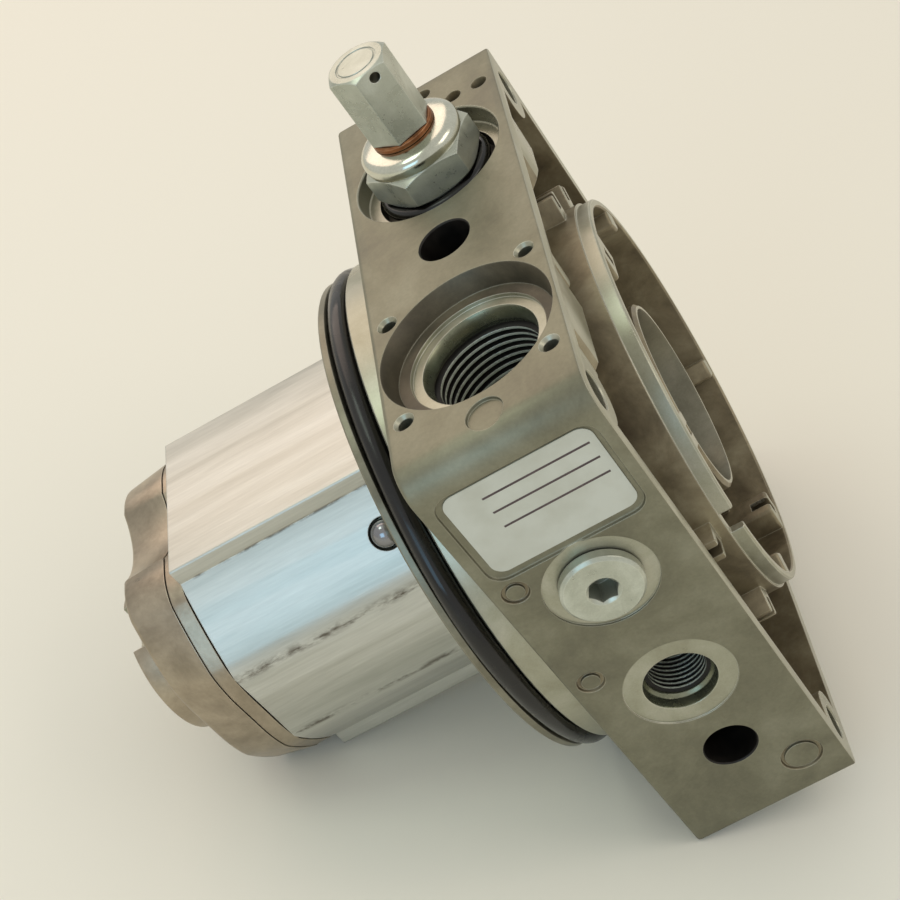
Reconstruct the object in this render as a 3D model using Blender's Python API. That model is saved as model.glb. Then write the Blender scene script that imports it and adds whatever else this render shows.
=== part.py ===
"""Gear pump on a square die-cast manifold, with relief valve, gauge plug and tank seal.

Axes: +X runs along the pump shaft towards the motor, +Z is up through the relief valve,
-Y is the front face with the gauge and auxiliary ports. The origin is the middle of the
drive shaft's end face. All lengths are in metres.
"""
import math

import bmesh
import bpy
from mathutils import Matrix, Vector

MM = 0.001

# Fit and mesh resolution
GAP = 0.3 * MM
OVERSHOOT = 1.0 * MM
BITE = 2.0 * MM
WELD = 0.001 * MM
FINE_STEPS = 64
ROUND_STEPS = 32
SMALL_STEPS = 16
RING_STEPS = 8
SHARP_ANGLE = math.radians(32)

# Manifold block
BLOCK_SIDE = 135.0 * MM
BLOCK_DEPTH = 42.0 * MM
BEND_RADIUS = 7.0 * MM
EDGE_RADIUS = 1.2 * MM
WALL = 4.0 * MM
POCKET_DEPTH = 22.0 * MM
POCKET_CORNER = 5.0 * MM
HALF = BLOCK_SIDE / 2

# Motor spigot and the bowl inside it
DRUM_R = 50.6 * MM
DRUM_TOP_X = 3.5 * MM
SPIGOT_R = 50.0 * MM
SPIGOT_TOP_X = 7.0 * MM
BOWL_R = 45.6 * MM
BOWL_FLOOR_X = -10.0 * MM
HUB_R = 24.0 * MM
HUB_TOP_X = 4.0 * MM
HUB_BORE_R = 19.0 * MM
HUB_FLOOR_X = -8.0 * MM
BOWL_RIBS = 8
BOWL_RIB_W = 3.0 * MM
BOWL_RIB_TOP_X = -3.5 * MM
BOWL_RIB_PHASE = math.radians(4)
NOTCH_W = 9.0 * MM
NOTCH_DEPTH = 3.3 * MM
NOTCH_ANGLE = math.radians(176)
WEB_W = 3.2 * MM
WEB_TOP_X = -3.0 * MM
TAB_W = 7.0 * MM
TAB_OUT = 3.4 * MM
TAB_TOP_X = 1.0 * MM
TAB_ANGLES = (math.radians(35), math.radians(187), math.radians(212), math.radians(305))

# Corner bolts
CORNER_OFFSET = 56.6 * MM
CORNER_BOSS_R = 10.0 * MM
CORNER_HOLE_R = 4.25 * MM

# Tank flange
FLANGE_R = 63.0 * MM
FLANGE_END_X = -54.0 * MM
LIP_R = 62.3 * MM
LIP_W = 2.0 * MM
GROOVE_W = 5.7 * MM
GROOVE_R = 58.0 * MM
TANK_RING_R = 2.6 * MM
TANK_RING_MEAN_R = GROOVE_R + GAP + TANK_RING_R

# Ports, all in the middle of the block's depth
PORT_X = -21.0 * MM
PORT_C_Y = -33.0 * MM
C_RECESS_R = 19.7 * MM
C_RECESS_FLOOR_R = 18.4 * MM
C_RECESS_DEPTH = 5.0 * MM
C_SEAT_R = 15.9 * MM
C_SEAT_DEPTH = 0.5 * MM
C_BORE_R = 13.0 * MM
C_BORE_DEPTH = 9.5 * MM
C_THREAD_R = 10.6 * MM
C_THREAD_DEPTH = 27.0 * MM
C_BOSS_R = 16.0 * MM
C_BOSS_DEPTH = 32.0 * MM
C_SCREW_PITCH = 33.1 * MM
C_SCREW_R = 1.7 * MM
C_SCREW_MOUTH_R = 2.3 * MM
C_SCREW_DEPTH = 10.0 * MM
C_SCREW_BOSS_R = 4.4 * MM
C_SCREW_BOSS_DEPTH = 12.5 * MM
PAD_DEPTH = 8.5 * MM
PAD_R = 20.8 * MM
DRAIN_Y = 1.8 * MM
DRAIN_R = 6.1 * MM
DRAIN_DEPTH = 30.0 * MM
DRAIN_BOSS_R = 9.5 * MM
PIN_HOLE_R = 2.0 * MM
PIN_HOLE_DEPTH = 5.0 * MM
PIN_HOLES = ((-4.3 * MM, 54.2 * MM), (-11.2 * MM, 54.5 * MM), (-18.5 * MM, 62.2 * MM))
PORT_M_Z = 21.5 * MM
M_SPOT_R = 12.5 * MM
M_HOLE_R = 6.9 * MM
M_HOLE_DEPTH = 15.0 * MM
FRONT_BOSS_R = 12.0 * MM
FRONT_BOSS_DEPTH = 30.0 * MM
PORT_V_Z = -15.7 * MM
V_SPOT_R = 12.95 * MM
V_BORE_R = 8.2 * MM
V_BORE_DEPTH = 3.5 * MM
V_THREAD_R = 7.5 * MM
V_THREAD_DEPTH = 26.0 * MM
SPOT_DEPTH = 0.5 * MM
CONE_DEPTH = 4.0 * MM
SIDE_HOLE_Z = -41.4 * MM
SIDE_HOLE_R = 6.15 * MM
SIDE_HOLE_DEPTH = 26.0 * MM
LABEL_X = -20.7 * MM
LABEL_Z = 47.3 * MM
LABEL_W = 34.4 * MM
LABEL_H = 24.6 * MM
LABEL_CORNER = 3.5 * MM
LABEL_DEPTH = 0.9 * MM
TOP_MARK = (-20.7 * MM, -59.4 * MM, 4.2 * MM)
FRONT_MARKS = ((-36.6 * MM, 29.8 * MM, 3.1 * MM), (-36.7 * MM, -3.0 * MM, 3.2 * MM),
               (-9.1 * MM, -55.4 * MM, 5.1 * MM))
MARK_DEPTH = 0.7 * MM

# Drillings inside the block
GALLERY_R = 3.0 * MM
CROSS_R = 2.4 * MM
GALLERY_END_Y = 36.7 * MM
RETURN_R = 3.2 * MM
RETURN_RISE = 27.5 * MM
V_RETURN_Y = -41.0 * MM

# Pump body, mirrored about the line of gear centres
GEAR_CENTRES = 22.0 * MM
GEAR_MID = GEAR_CENTRES / 2
BODY_START_X = FLANGE_END_X - GAP
BODY_END_X = -115.0 * MM
BODY_HALF_W = 36.3 * MM
BODY_FLAT_HALF = 25.6 * MM
BODY_STEP = 4.4 * MM
BODY_HALF_L = 40.6 * MM
BODY_NOSE_HALF = 12.0 * MM
BODY_BULGE = 0.9 * MM
BODY_FACET_STEPS = 5

# Gears and shafts
TEETH = 10
PRESSURE_ANGLE = math.radians(25)
TIP_R = 13.2 * MM
ROOT_R = 8.4 * MM
TOOTH_SLACK = 0.16 * MM
FLANK_STEPS = 5
GEAR_START_X = -78.2 * MM
GEAR_W = 12.9 * MM
JOURNAL_R = 6.0 * MM
SHAFT_HOLE_R = 6.5 * MM
TANG_L = 8.0 * MM
TANG_T = 5.0 * MM
TANG_W = 11.0 * MM
WINDOW_W = 8.0 * MM
WINDOW_Z = 21.5 * MM
PASSAGE_R = 4.5 * MM

# Face seals, dowels and plug ball of the pump body
FACE_SEAL_R = 17.6 * MM
FACE_SEAL_W = 2.4 * MM
FACE_SEAL_DEPTH = 1.8 * MM
DOWEL_R = 2.5 * MM
DOWEL_OFFSET = 32.5 * MM
DOWEL_START_X = -48.0 * MM
DOWEL_END_X = -60.0 * MM
BALL_R = 4.2 * MM
BALL_POS = (-66.6 * MM, -21.6 * MM, 22.9 * MM)
BALL_POCKET_DEPTH = 5.5 * MM

# End plate and cover
PLATE_START_X = BODY_END_X - GAP
PLATE_END_X = -119.0 * MM
COVER_START_X = PLATE_END_X - GAP
COVER_END_X = -131.0 * MM
COVER_INSET = 1.5 * MM
COVER_CORNER_R = 7.0 * MM
WAIST_R = 36.0 * MM
WAIST_Z = 29.8 * MM
COVER_BOSS_R = 24.5 * MM
COVER_BOSS_END_X = -137.0 * MM
SUCTION_R = 8.0 * MM
SUCTION_DEPTH = 14.0 * MM
SUCTION_SLOT_X = -124.0 * MM
COVER_EDGE = 2.0 * MM

# Pump bolts
BOLT_Y = 18.0 * MM
BOLT_Z = 24.0 * MM
BOLT_R = 4.0 * MM
BOLT_HEAD_R = 6.5 * MM
BOLT_HEAD_L = 8.0 * MM
BOLT_SEAT_X = -122.6 * MM
BOLT_TIP_X = -44.5 * MM
BOLT_SOCKET_AF = 6.0 * MM
BOLT_SOCKET_DEPTH = 4.0 * MM

# Shaft seal
SEAL_R = 11.0 * MM
SEAL_LIP_R = 6.3 * MM
SEAL_BODY_R = 8.6 * MM
SEAL_START_X = -15.7 * MM
SEAL_W = 7.0 * MM
SEAL_FLANGE_W = 1.6 * MM

# Relief valve, heights measured from the block's top face
RELIEF_Y = 33.7 * MM
R_RECESS_R = 18.4 * MM
R_RECESS_DEPTH = 6.0 * MM
R_SHANK_R = 10.0 * MM
R_SHANK_END = -22.0 * MM
R_NOSE_R = 8.3 * MM
R_NOSE_END = -32.0 * MM
R_HEX_AF = 24.0 * MM
R_HEX_LOW = -2.2 * MM
R_HEX_HIGH = 4.8 * MM
R_HEX_CHAMFER = 1.4 * MM
R_COLLAR_R = 11.4 * MM
R_COLLAR_TOP = 9.4 * MM
R_COLLAR_ROUND = 1.8 * MM
R_NECK_R = 11.0 * MM
R_SPRING_BORE_R = 6.0 * MM
R_BORE_LOW = -29.0 * MM
R_BORE_HIGH = 3.0 * MM
R_ORIFICE_R = 2.6 * MM
R_DRAIN_R = 1.6 * MM
R_DRAIN_Z = -26.4 * MM
R_RING_R = 1.2 * MM
R_RING_MEAN_R = 12.4 * MM
SCREW_R = 4.0 * MM
SCREW_LOW = -3.5 * MM
SCREW_HIGH = 22.0 * MM
SCREW_SLOT_W = 1.2 * MM
SCREW_SLOT_DEPTH = 1.6 * MM
SEAT_R = 5.4 * MM
SEAT_HIGH = -3.8 * MM
SEAT_T = 2.4 * MM
SEAT_PIN_R = 2.6 * MM
SEAT_PIN_L = 3.0 * MM
SPRING_R = 4.1 * MM
SPRING_WIRE_R = 0.75 * MM
SPRING_TURNS = 6
SPRING_PATH_STEPS = 14
SPRING_RING_STEPS = 6
POPPET_R = 5.2 * MM
POPPET_HEAD_LOW = -24.2 * MM
POPPET_HEAD_HIGH = -21.6 * MM
POPPET_TIP = -30.6 * MM
POPPET_TIP_R = 0.9 * MM
POPPET_CONE_TOP = -28.0 * MM
POPPET_STEM_R = 2.9 * MM
POPPET_PIN_R = 2.6 * MM
POPPET_PIN_HIGH = -18.5 * MM
WASHER_R = 8.0 * MM
WASHER_HOLE_R = 4.7 * MM
WASHER_T = 1.1 * MM
CAP_AF = 13.0 * MM
CAP_TOP = 29.8 * MM
CAP_CHAMFER = 1.1 * MM
CAP_BORE_DEPTH = 12.6 * MM
CAP_RING_R = 5.0 * MM
CAP_RING_DEPTH = 0.25 * MM
CAP_RING_W = 0.5 * MM
WIRE_HOLE_R = 0.8 * MM
WIRE_HOLE_Z = 26.0 * MM
WIRE_HOLE_INSET = 1.1 * MM

# Gauge port plug
PLUG_HEAD_R = 9.1 * MM
PLUG_HEAD_T = 3.0 * MM
PLUG_SHANK_R = 6.5 * MM
PLUG_SHANK_L = 10.5 * MM
PLUG_AF = 6.0 * MM
PLUG_SOCKET_DEPTH = 6.0 * MM
PLUG_CHAMFER = 0.5 * MM
PLUG_RING_R = 0.5 * MM
PLUG_RING_MEAN_R = 7.6 * MM
PLUG_RING_GROOVE_R = 8.7 * MM
PLUG_RING_DEPTH = 2 * PLUG_RING_R + GAP

TOP = HALF
FRONT = -HALF
RELIEF = (PORT_X, RELIEF_Y)
TAU = 2 * math.pi
HEX_SIDES = 6


def clear_scene():
    """Remove every object that is already in the file."""
    for old in list(bpy.data.objects):
        bpy.data.objects.remove(old, do_unlink=True)


def material(name, colour, roughness, metallic):
    """Return a plain principled material."""
    mat = bpy.data.materials.new(name)
    mat.use_nodes = True
    shader = mat.node_tree.nodes["Principled BSDF"]
    shader.inputs["Base Color"].default_value = (*colour, 1)
    shader.inputs["Roughness"].default_value = roughness
    shader.inputs["Metallic"].default_value = metallic
    mat.diffuse_color = (*colour, 1)
    return mat


def place(axis, along, first, second):
    """Turn a station on an axis and two cross values into a point."""
    if axis == "X":
        return Vector((along, first, second))
    if axis == "Y":
        return Vector((first, along, second))
    return Vector((first, second, along))


def finish_mesh(name, work):
    """Link an object made of a bmesh, with its normals facing out."""
    bmesh.ops.recalc_face_normals(work, faces=work.faces)
    mesh = bpy.data.meshes.new(name)
    work.to_mesh(mesh)
    work.free()
    obj = bpy.data.objects.new(name, mesh)
    bpy.context.scene.collection.objects.link(obj)
    return obj


def prism(name, outline, low, high, axis):
    """Extrude an outline along an axis."""
    work = bmesh.new()
    face = work.faces.new([work.verts.new(place(axis, low, *spot)) for spot in outline])
    grown = bmesh.ops.extrude_face_region(work, geom=[face])
    moved = [item for item in grown["geom"] if isinstance(item, bmesh.types.BMVert)]
    bmesh.ops.translate(work, verts=moved, vec=place(axis, high - low, 0, 0))
    return finish_mesh(name, work)


def lathe(name, profile, centre, axis, steps):
    """Spin a profile of (station, radius) points about an axis.

    A profile that starts and ends on the axis gives a solid with flat ends, any other a ring.
    """
    solid = profile[0][1] == 0
    work = bmesh.new()
    verts = [work.verts.new(place(axis, station, centre[0] + radius, centre[1]))
             for station, radius in profile if radius > 0]
    pairs = list(zip(verts, verts[1:]))
    if not solid:
        pairs.append((verts[-1], verts[0]))
    edges = [work.edges.new(pair) for pair in pairs]
    bmesh.ops.spin(work, geom=verts + edges, cent=place(axis, 0, *centre), axis=place(axis, 1, 0, 0),
                   angle=TAU, steps=steps, use_merge=True)
    if solid:
        bmesh.ops.holes_fill(work, edges=[edge for edge in work.edges if edge.is_boundary], sides=0)
    return finish_mesh(name, work)


def cylinder(name, radius, centre, low, high, axis, steps=ROUND_STEPS):
    """A plain round bar."""
    return prism(name, circle(centre, radius, steps), low, high, axis)


def box(name, low, high):
    """A box between two corners."""
    outline = [(low[1], low[2]), (high[1], low[2]), (high[1], high[2]), (low[1], high[2])]
    return prism(name, outline, low[0], high[0], "X")


def circle(centre, radius, steps, phase=0.0):
    """Points round a circle."""
    return [(centre[0] + radius * math.cos(phase + TAU * i / steps),
             centre[1] + radius * math.sin(phase + TAU * i / steps)) for i in range(steps)]


def arc(centre, radius, start, end, steps):
    """Points along an arc, both ends included."""
    return [(centre[0] + radius * math.cos(start + (end - start) * i / steps),
             centre[1] + radius * math.sin(start + (end - start) * i / steps))
            for i in range(steps + 1)]


def rounded_box_outline(centre, width, height, radii, steps=6):
    """Rectangle with four rounded corners, from the lower left round."""
    corners = []
    quarter = math.pi / 2
    for k, (sx, sy) in enumerate(((-1, -1), (1, -1), (1, 1), (-1, 1))):
        r = radii[k]
        mid = (centre[0] + sx * (width / 2 - r), centre[1] + sy * (height / 2 - r))
        corners += arc(mid, r, math.pi + k * quarter, math.pi + (k + 1) * quarter, steps)
    return corners


def hexagon(centre, across_flats, phase=0.0):
    """Six corners of a hexagon."""
    return circle(centre, across_flats / math.sqrt(3), HEX_SIDES, phase)


def combine(target, tool, operation):
    """Apply a boolean to the target at once and drop the tool."""
    step = target.modifiers.new(operation, "BOOLEAN")
    step.operation = operation
    step.solver = "EXACT"
    step.object = tool
    graph = bpy.context.evaluated_depsgraph_get()
    mesh = bpy.data.meshes.new_from_object(target.evaluated_get(graph))
    target.modifiers.clear()
    target.data = mesh
    weld(mesh)
    bpy.data.objects.remove(tool, do_unlink=True)
    return target


def weld(mesh):
    """Merge the points that a boolean left a hair apart."""
    work = bmesh.new()
    work.from_mesh(mesh)
    bmesh.ops.remove_doubles(work, verts=work.verts, dist=WELD)
    bmesh.ops.dissolve_degenerate(work, edges=work.edges, dist=WELD)
    work.to_mesh(mesh)
    work.free()


def cut(target, tool):
    """Take the tool's volume away."""
    return combine(target, tool, "DIFFERENCE")


def drill(target, radius, centre, low, high, axis, steps=SMALL_STEPS):
    """Drill a plain round hole."""
    return cut(target, cylinder("drill", radius, centre, low, high, axis, steps))


def bolt_centres():
    """Centres of the four pump bolts in Y and Z."""
    return [(GEAR_MID + sy * BOLT_Y, sz * BOLT_Z) for sy in (-1, 1) for sz in (-1, 1)]


def dowel_centres():
    """Centres of the two dowels, front and back."""
    return [(GEAR_MID - DOWEL_OFFSET, 0), (GEAR_MID + DOWEL_OFFSET, 0)]


def corner_centres():
    """Centres of the four corner holes in Y and Z."""
    return [(sy * CORNER_OFFSET, sz * CORNER_OFFSET) for sy in (-1, 1) for sz in (-1, 1)]


def add(target, tool):
    """Fuse the tool's volume on."""
    return combine(target, tool, "UNION")


def dress(obj, mat, smooth=True):
    """Give an object its material and its shading."""
    obj.data.materials.clear()
    obj.data.materials.append(mat)
    if smooth:
        obj.data.shade_smooth()
        obj.data.set_sharp_from_angle(angle=SHARP_ANGLE)
    return obj


def pivot(obj, spot):
    """Put a moving piece's origin on its joint axis without moving its surface."""
    obj.data.transform(Matrix.Translation(-Vector(spot)))
    obj.location = spot


def figure_eight(radius, steps=ROUND_STEPS):
    """Outline of two overlapping circles on the gear centres."""
    cross = math.acos(GEAR_MID / radius)
    left = arc((0, 0), radius, cross, TAU - cross, steps)
    right = arc((GEAR_CENTRES, 0), radius, cross - math.pi, math.pi - cross, steps)
    return left + right[1:-1]


def oval(radius, steps=SMALL_STEPS):
    """Outline of a slot round both gear centres."""
    quarter = math.pi / 2
    left = arc((0, 0), radius, quarter, 3 * quarter, steps)
    return left + arc((GEAR_CENTRES, 0), radius, -quarter, quarter, steps)


def motor_side(block):
    """Hollow the motor side and add the drum, hub, webs and bosses."""
    inner = BLOCK_SIDE - 2 * WALL
    outline = rounded_box_outline((0, 0), inner, inner, [POCKET_CORNER] * 4)
    pocket = prism("pocket", outline, -POCKET_DEPTH, OVERSHOOT, "X")
    base = -POCKET_DEPTH - OVERSHOOT
    for centre in corner_centres():
        drill(pocket, CORNER_BOSS_R, centre, base, 2 * OVERSHOOT, "X", ROUND_STEPS)
    cut(block, pocket)
    add(block, cylinder("drum", DRUM_R, (0, 0), base, DRUM_TOP_X, "X", FINE_STEPS))
    add(block, cylinder("spigot", SPIGOT_R, (0, 0), base, SPIGOT_TOP_X, "X", FINE_STEPS))
    drill(block, BOWL_R, (0, 0), BOWL_FLOOR_X, SPIGOT_TOP_X + OVERSHOOT, "X", FINE_STEPS)
    add(block, cylinder("hub", HUB_R, (0, 0), BOWL_FLOOR_X - OVERSHOOT, HUB_TOP_X, "X", ROUND_STEPS))
    for k in range(BOWL_RIBS):
        angle = BOWL_RIB_PHASE + TAU * k / BOWL_RIBS
        add(block, radial_box("rib", angle, (HUB_R - BITE, BOWL_R + BITE), BOWL_RIB_W,
                              (BOWL_FLOOR_X - OVERSHOOT, BOWL_RIB_TOP_X)))
    for y, z in corner_centres():
        reach = (DRUM_R - BITE, math.hypot(y, z))
        add(block, radial_box("web", math.atan2(z, y), reach, WEB_W, (base, WEB_TOP_X)))
    for angle in TAB_ANGLES:
        reach = (DRUM_R - BITE, DRUM_R + TAB_OUT)
        add(block, radial_box("tab", angle, reach, TAB_W, (base, TAB_TOP_X)))


def radial_box(name, angle, reach, width, span):
    """A straight web that runs outwards from the pump axis over a reach of radii and a span of X."""
    near, far = reach
    along = (math.cos(angle), math.sin(angle))
    side = (-along[1] * width / 2, along[0] * width / 2)
    outline = []
    for reach, sign in ((near, 1), (near, -1), (far, -1), (far, 1)):
        outline.append((along[0] * reach + sign * side[0], along[1] * reach + sign * side[1]))
    return prism(name, outline, *span, "X")


def port_bosses(block):
    """Solid metal round each port inside the hollow casting."""
    skin = WALL / 2
    for y, radius in ((PORT_C_Y, C_BOSS_R), (RELIEF_Y, C_BOSS_R), (DRAIN_Y, DRAIN_BOSS_R)):
        add(block, cylinder("top_boss", radius, (PORT_X, y), TOP - C_BOSS_DEPTH, TOP - skin, "Z"))
    for y in (PORT_C_Y, RELIEF_Y):
        add(block, cylinder("pad", PAD_R, (PORT_X, y), TOP - PAD_DEPTH, TOP - skin, "Z"))
    for sy in (-1, 1):
        spot = (PORT_X + C_SCREW_PITCH / 2, PORT_C_Y + sy * C_SCREW_PITCH / 2)
        add(block, cylinder("screw_boss", C_SCREW_BOSS_R, spot, TOP - C_SCREW_BOSS_DEPTH,
                            TOP - skin, "Z", SMALL_STEPS))
    for z, radius in ((PORT_M_Z, FRONT_BOSS_R), (PORT_V_Z, FRONT_BOSS_R), (SIDE_HOLE_Z, DRAIN_BOSS_R)):
        add(block, cylinder("front_boss", radius, (PORT_X, z), FRONT + skin, FRONT + FRONT_BOSS_DEPTH, "Y"))


def tank_flange(block):
    """Round flange with the seal groove and its thin outer lip."""
    groove_end = FLANGE_END_X + LIP_W
    groove_start = groove_end + GROOVE_W
    inside = -BLOCK_DEPTH + BITE
    profile = [(inside, 0), (inside, FLANGE_R), (groove_start, FLANGE_R), (groove_start, GROOVE_R),
               (groove_end, GROOVE_R), (groove_end, LIP_R), (FLANGE_END_X, LIP_R), (FLANGE_END_X, 0)]
    add(block, lathe("flange", profile, (0, 0), "X", FINE_STEPS))


def cut_from_top(block, profile, centre, steps=ROUND_STEPS):
    """Cut a turned cavity down from the top face; the profile is (depth, radius)."""
    stations = [(TOP + OVERSHOOT, 0), (TOP + OVERSHOOT, profile[0][1])]
    stations += [(TOP - depth, radius) for depth, radius in profile]
    cut(block, lathe("top_cut", stations, centre, "Z", steps))


def cut_from_front(block, profile, centre, steps=ROUND_STEPS):
    """Cut a turned cavity in from the front face; the profile is (depth, radius)."""
    stations = [(FRONT - OVERSHOOT, 0), (FRONT - OVERSHOOT, profile[0][1])]
    stations += [(FRONT + depth, radius) for depth, radius in profile]
    cut(block, lathe("front_cut", stations, centre, "Y", steps))


def top_ports(block):
    """Port C, the relief valve cavity and the plain holes of the top face."""
    seat_depth = C_RECESS_DEPTH + C_SEAT_DEPTH
    cut_from_top(block, [(0, C_RECESS_R), (C_RECESS_DEPTH, C_RECESS_FLOOR_R), (C_RECESS_DEPTH, C_SEAT_R),
                         (seat_depth, C_SEAT_R), (seat_depth, C_BORE_R), (C_BORE_DEPTH, C_BORE_R),
                         (C_BORE_DEPTH, C_THREAD_R), (C_THREAD_DEPTH, C_THREAD_R),
                         (C_THREAD_DEPTH + CONE_DEPTH, CROSS_R), (TOP - PORT_M_Z, CROSS_R),
                         (TOP - PORT_M_Z, 0)], (PORT_X, PORT_C_Y))
    shank = R_SHANK_R + GAP
    nose = R_NOSE_R + GAP
    cut_from_top(block, [(0, R_RECESS_R), (R_RECESS_DEPTH, R_RECESS_R), (R_RECESS_DEPTH, shank),
                         (-R_SHANK_END + GAP, shank), (-R_SHANK_END + GAP, nose),
                         (-R_NOSE_END + GAP, nose), (-R_NOSE_END + GAP, CROSS_R),
                         (TOP - PORT_M_Z, CROSS_R), (TOP - PORT_M_Z, 0)], RELIEF)
    cut_from_top(block, [(0, DRAIN_R), (DRAIN_DEPTH, DRAIN_R), (DRAIN_DEPTH, 0)], (PORT_X, DRAIN_Y))
    for sx in (-1, 1):
        for sy in (-1, 1):
            spot = (PORT_X + sx * C_SCREW_PITCH / 2, PORT_C_Y + sy * C_SCREW_PITCH / 2)
            mouth = C_SCREW_MOUTH_R - C_SCREW_R
            cut_from_top(block, [(0, C_SCREW_MOUTH_R), (mouth, C_SCREW_R), (C_SCREW_DEPTH, C_SCREW_R),
                                 (C_SCREW_DEPTH, 0)], spot, SMALL_STEPS)
    for spot in PIN_HOLES:
        cut_from_top(block, [(0, PIN_HOLE_R), (PIN_HOLE_DEPTH, PIN_HOLE_R), (PIN_HOLE_DEPTH, 0)],
                     spot, SMALL_STEPS)
    x, y, radius = TOP_MARK
    cut_from_top(block, [(0, radius), (MARK_DEPTH, radius), (MARK_DEPTH, 0)], (x, y), SMALL_STEPS)


def front_ports(block):
    """Gauge port M, port V, the plain hole, the label recess and the marking pads."""
    groove = SPOT_DEPTH + PLUG_RING_DEPTH
    cut_from_front(block, [(0, M_SPOT_R), (SPOT_DEPTH, M_SPOT_R), (SPOT_DEPTH, PLUG_RING_GROOVE_R),
                           (groove, PLUG_RING_GROOVE_R), (groove, M_HOLE_R), (M_HOLE_DEPTH, M_HOLE_R),
                           (M_HOLE_DEPTH, GALLERY_R), (GALLERY_END_Y - FRONT, GALLERY_R),
                           (GALLERY_END_Y - FRONT, 0)], (PORT_X, PORT_M_Z))
    cut_from_front(block, [(0, V_SPOT_R), (SPOT_DEPTH, V_SPOT_R), (SPOT_DEPTH, V_BORE_R),
                           (V_BORE_DEPTH, V_BORE_R), (V_BORE_DEPTH, V_THREAD_R),
                           (V_THREAD_DEPTH, V_THREAD_R), (V_THREAD_DEPTH + CONE_DEPTH, CROSS_R),
                           (V_THREAD_DEPTH + CONE_DEPTH, 0)], (PORT_X, PORT_V_Z))
    cut_from_front(block, [(0, SIDE_HOLE_R), (SIDE_HOLE_DEPTH, SIDE_HOLE_R), (SIDE_HOLE_DEPTH, 0)],
                   (PORT_X, SIDE_HOLE_Z))
    label = rounded_box_outline((LABEL_X, LABEL_Z), LABEL_W, LABEL_H, [LABEL_CORNER] * 4)
    cut(block, prism("label_recess", label, FRONT - OVERSHOOT, FRONT + LABEL_DEPTH, "Y"))
    for x, z, radius in FRONT_MARKS:
        cut_from_front(block, [(0, radius), (MARK_DEPTH, radius), (MARK_DEPTH, 0)], (x, z), SMALL_STEPS)


def through_drillings(block):
    """Shaft bore, seal seat, corner holes, bolt holes and the return drillings."""
    outside = FLANGE_END_X - OVERSHOOT
    seal_end = SEAL_START_X + SEAL_W + GAP
    drill(block, SHAFT_HOLE_R, (0, 0), outside, SPIGOT_TOP_X, "X")
    drill(block, SEAL_R + GAP, (0, 0), SEAL_START_X - GAP, seal_end, "X", ROUND_STEPS)
    drill(block, HUB_BORE_R, (0, 0), HUB_FLOOR_X, SPIGOT_TOP_X, "X", ROUND_STEPS)
    for centre in corner_centres():
        drill(block, CORNER_HOLE_R, centre, -BLOCK_DEPTH - OVERSHOOT, OVERSHOOT, "X")
    for centre in bolt_centres():
        drill(block, BOLT_R + GAP, centre, outside, BOLT_TIP_X + OVERSHOOT, "X")
    for centre in dowel_centres():
        drill(block, DOWEL_R + GAP, centre, outside, DOWEL_START_X + OVERSHOOT, "X")
    drill(block, PASSAGE_R, (GEAR_MID, WINDOW_Z), outside, PORT_X, "X")
    drill(block, RETURN_R, (RELIEF_Y, TOP - RETURN_RISE), outside, PORT_X, "X")
    drill(block, RETURN_R, (V_RETURN_Y, PORT_V_Z), outside, PORT_X, "X")
    cut(block, radial_box("notch", NOTCH_ANGLE, (BOWL_R - BITE, DRUM_R + OVERSHOOT), NOTCH_W,
                          (SPIGOT_TOP_X - NOTCH_DEPTH, SPIGOT_TOP_X + OVERSHOOT)))


def build_manifold(mat):
    """Die-cast block with its flange, drum, ports and drillings."""
    radii = [EDGE_RADIUS, EDGE_RADIUS, EDGE_RADIUS, BEND_RADIUS]
    outline = rounded_box_outline((0, 0), BLOCK_SIDE, BLOCK_SIDE, radii)
    block = prism("manifold_block", outline, -BLOCK_DEPTH, 0, "X")
    motor_side(block)
    port_bosses(block)
    tank_flange(block)
    top_ports(block)
    front_ports(block)
    through_drillings(block)
    dress(block, mat)


def torus(name, mean_radius, ring_radius, centre, station, axis, steps, mat):
    """A round sealing ring."""
    profile = [(station + y, mean_radius + r) for y, r in circle((0, 0), ring_radius, RING_STEPS)]
    return dress(lathe(name, profile, centre, axis, steps), mat)


def oval_ring(name, outer, inner, low, high):
    """Flat oval ring round both gear centres."""
    ring = prism(name, oval(outer), low, high, "X")
    return cut(ring, prism("hole", oval(inner), low - OVERSHOOT, high + OVERSHOOT, "X"))


def body_outline():
    """Outline of the extruded pump body, mirrored about both middle lines."""
    step_z = BODY_HALF_W - BODY_STEP
    facet = bulged((-BODY_FLAT_HALF, step_z), (-BODY_HALF_L, BODY_NOSE_HALF), BODY_BULGE)
    quarter = [(-BODY_FLAT_HALF, BODY_HALF_W)] + facet
    left = quarter + [(y, -z) for y, z in reversed(quarter)]
    right = [(-y, z) for y, z in reversed(left)]
    return [(GEAR_MID + y, z) for y, z in left + right]


def bulged(start, end, bulge):
    """Points from start to end along a shallow outward curve."""
    span = Vector(end) - Vector(start)
    normal = Vector((-span.y, span.x)).normalized()
    if normal.dot(Vector(start)) < 0:
        normal = -normal
    points = []
    for i in range(BODY_FACET_STEPS + 1):
        share = i / BODY_FACET_STEPS
        lift = 4 * share * (1 - share)
        spot = Vector(start) + span * share + normal * (bulge * lift)
        points.append((spot.x, spot.y))
    return points


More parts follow.
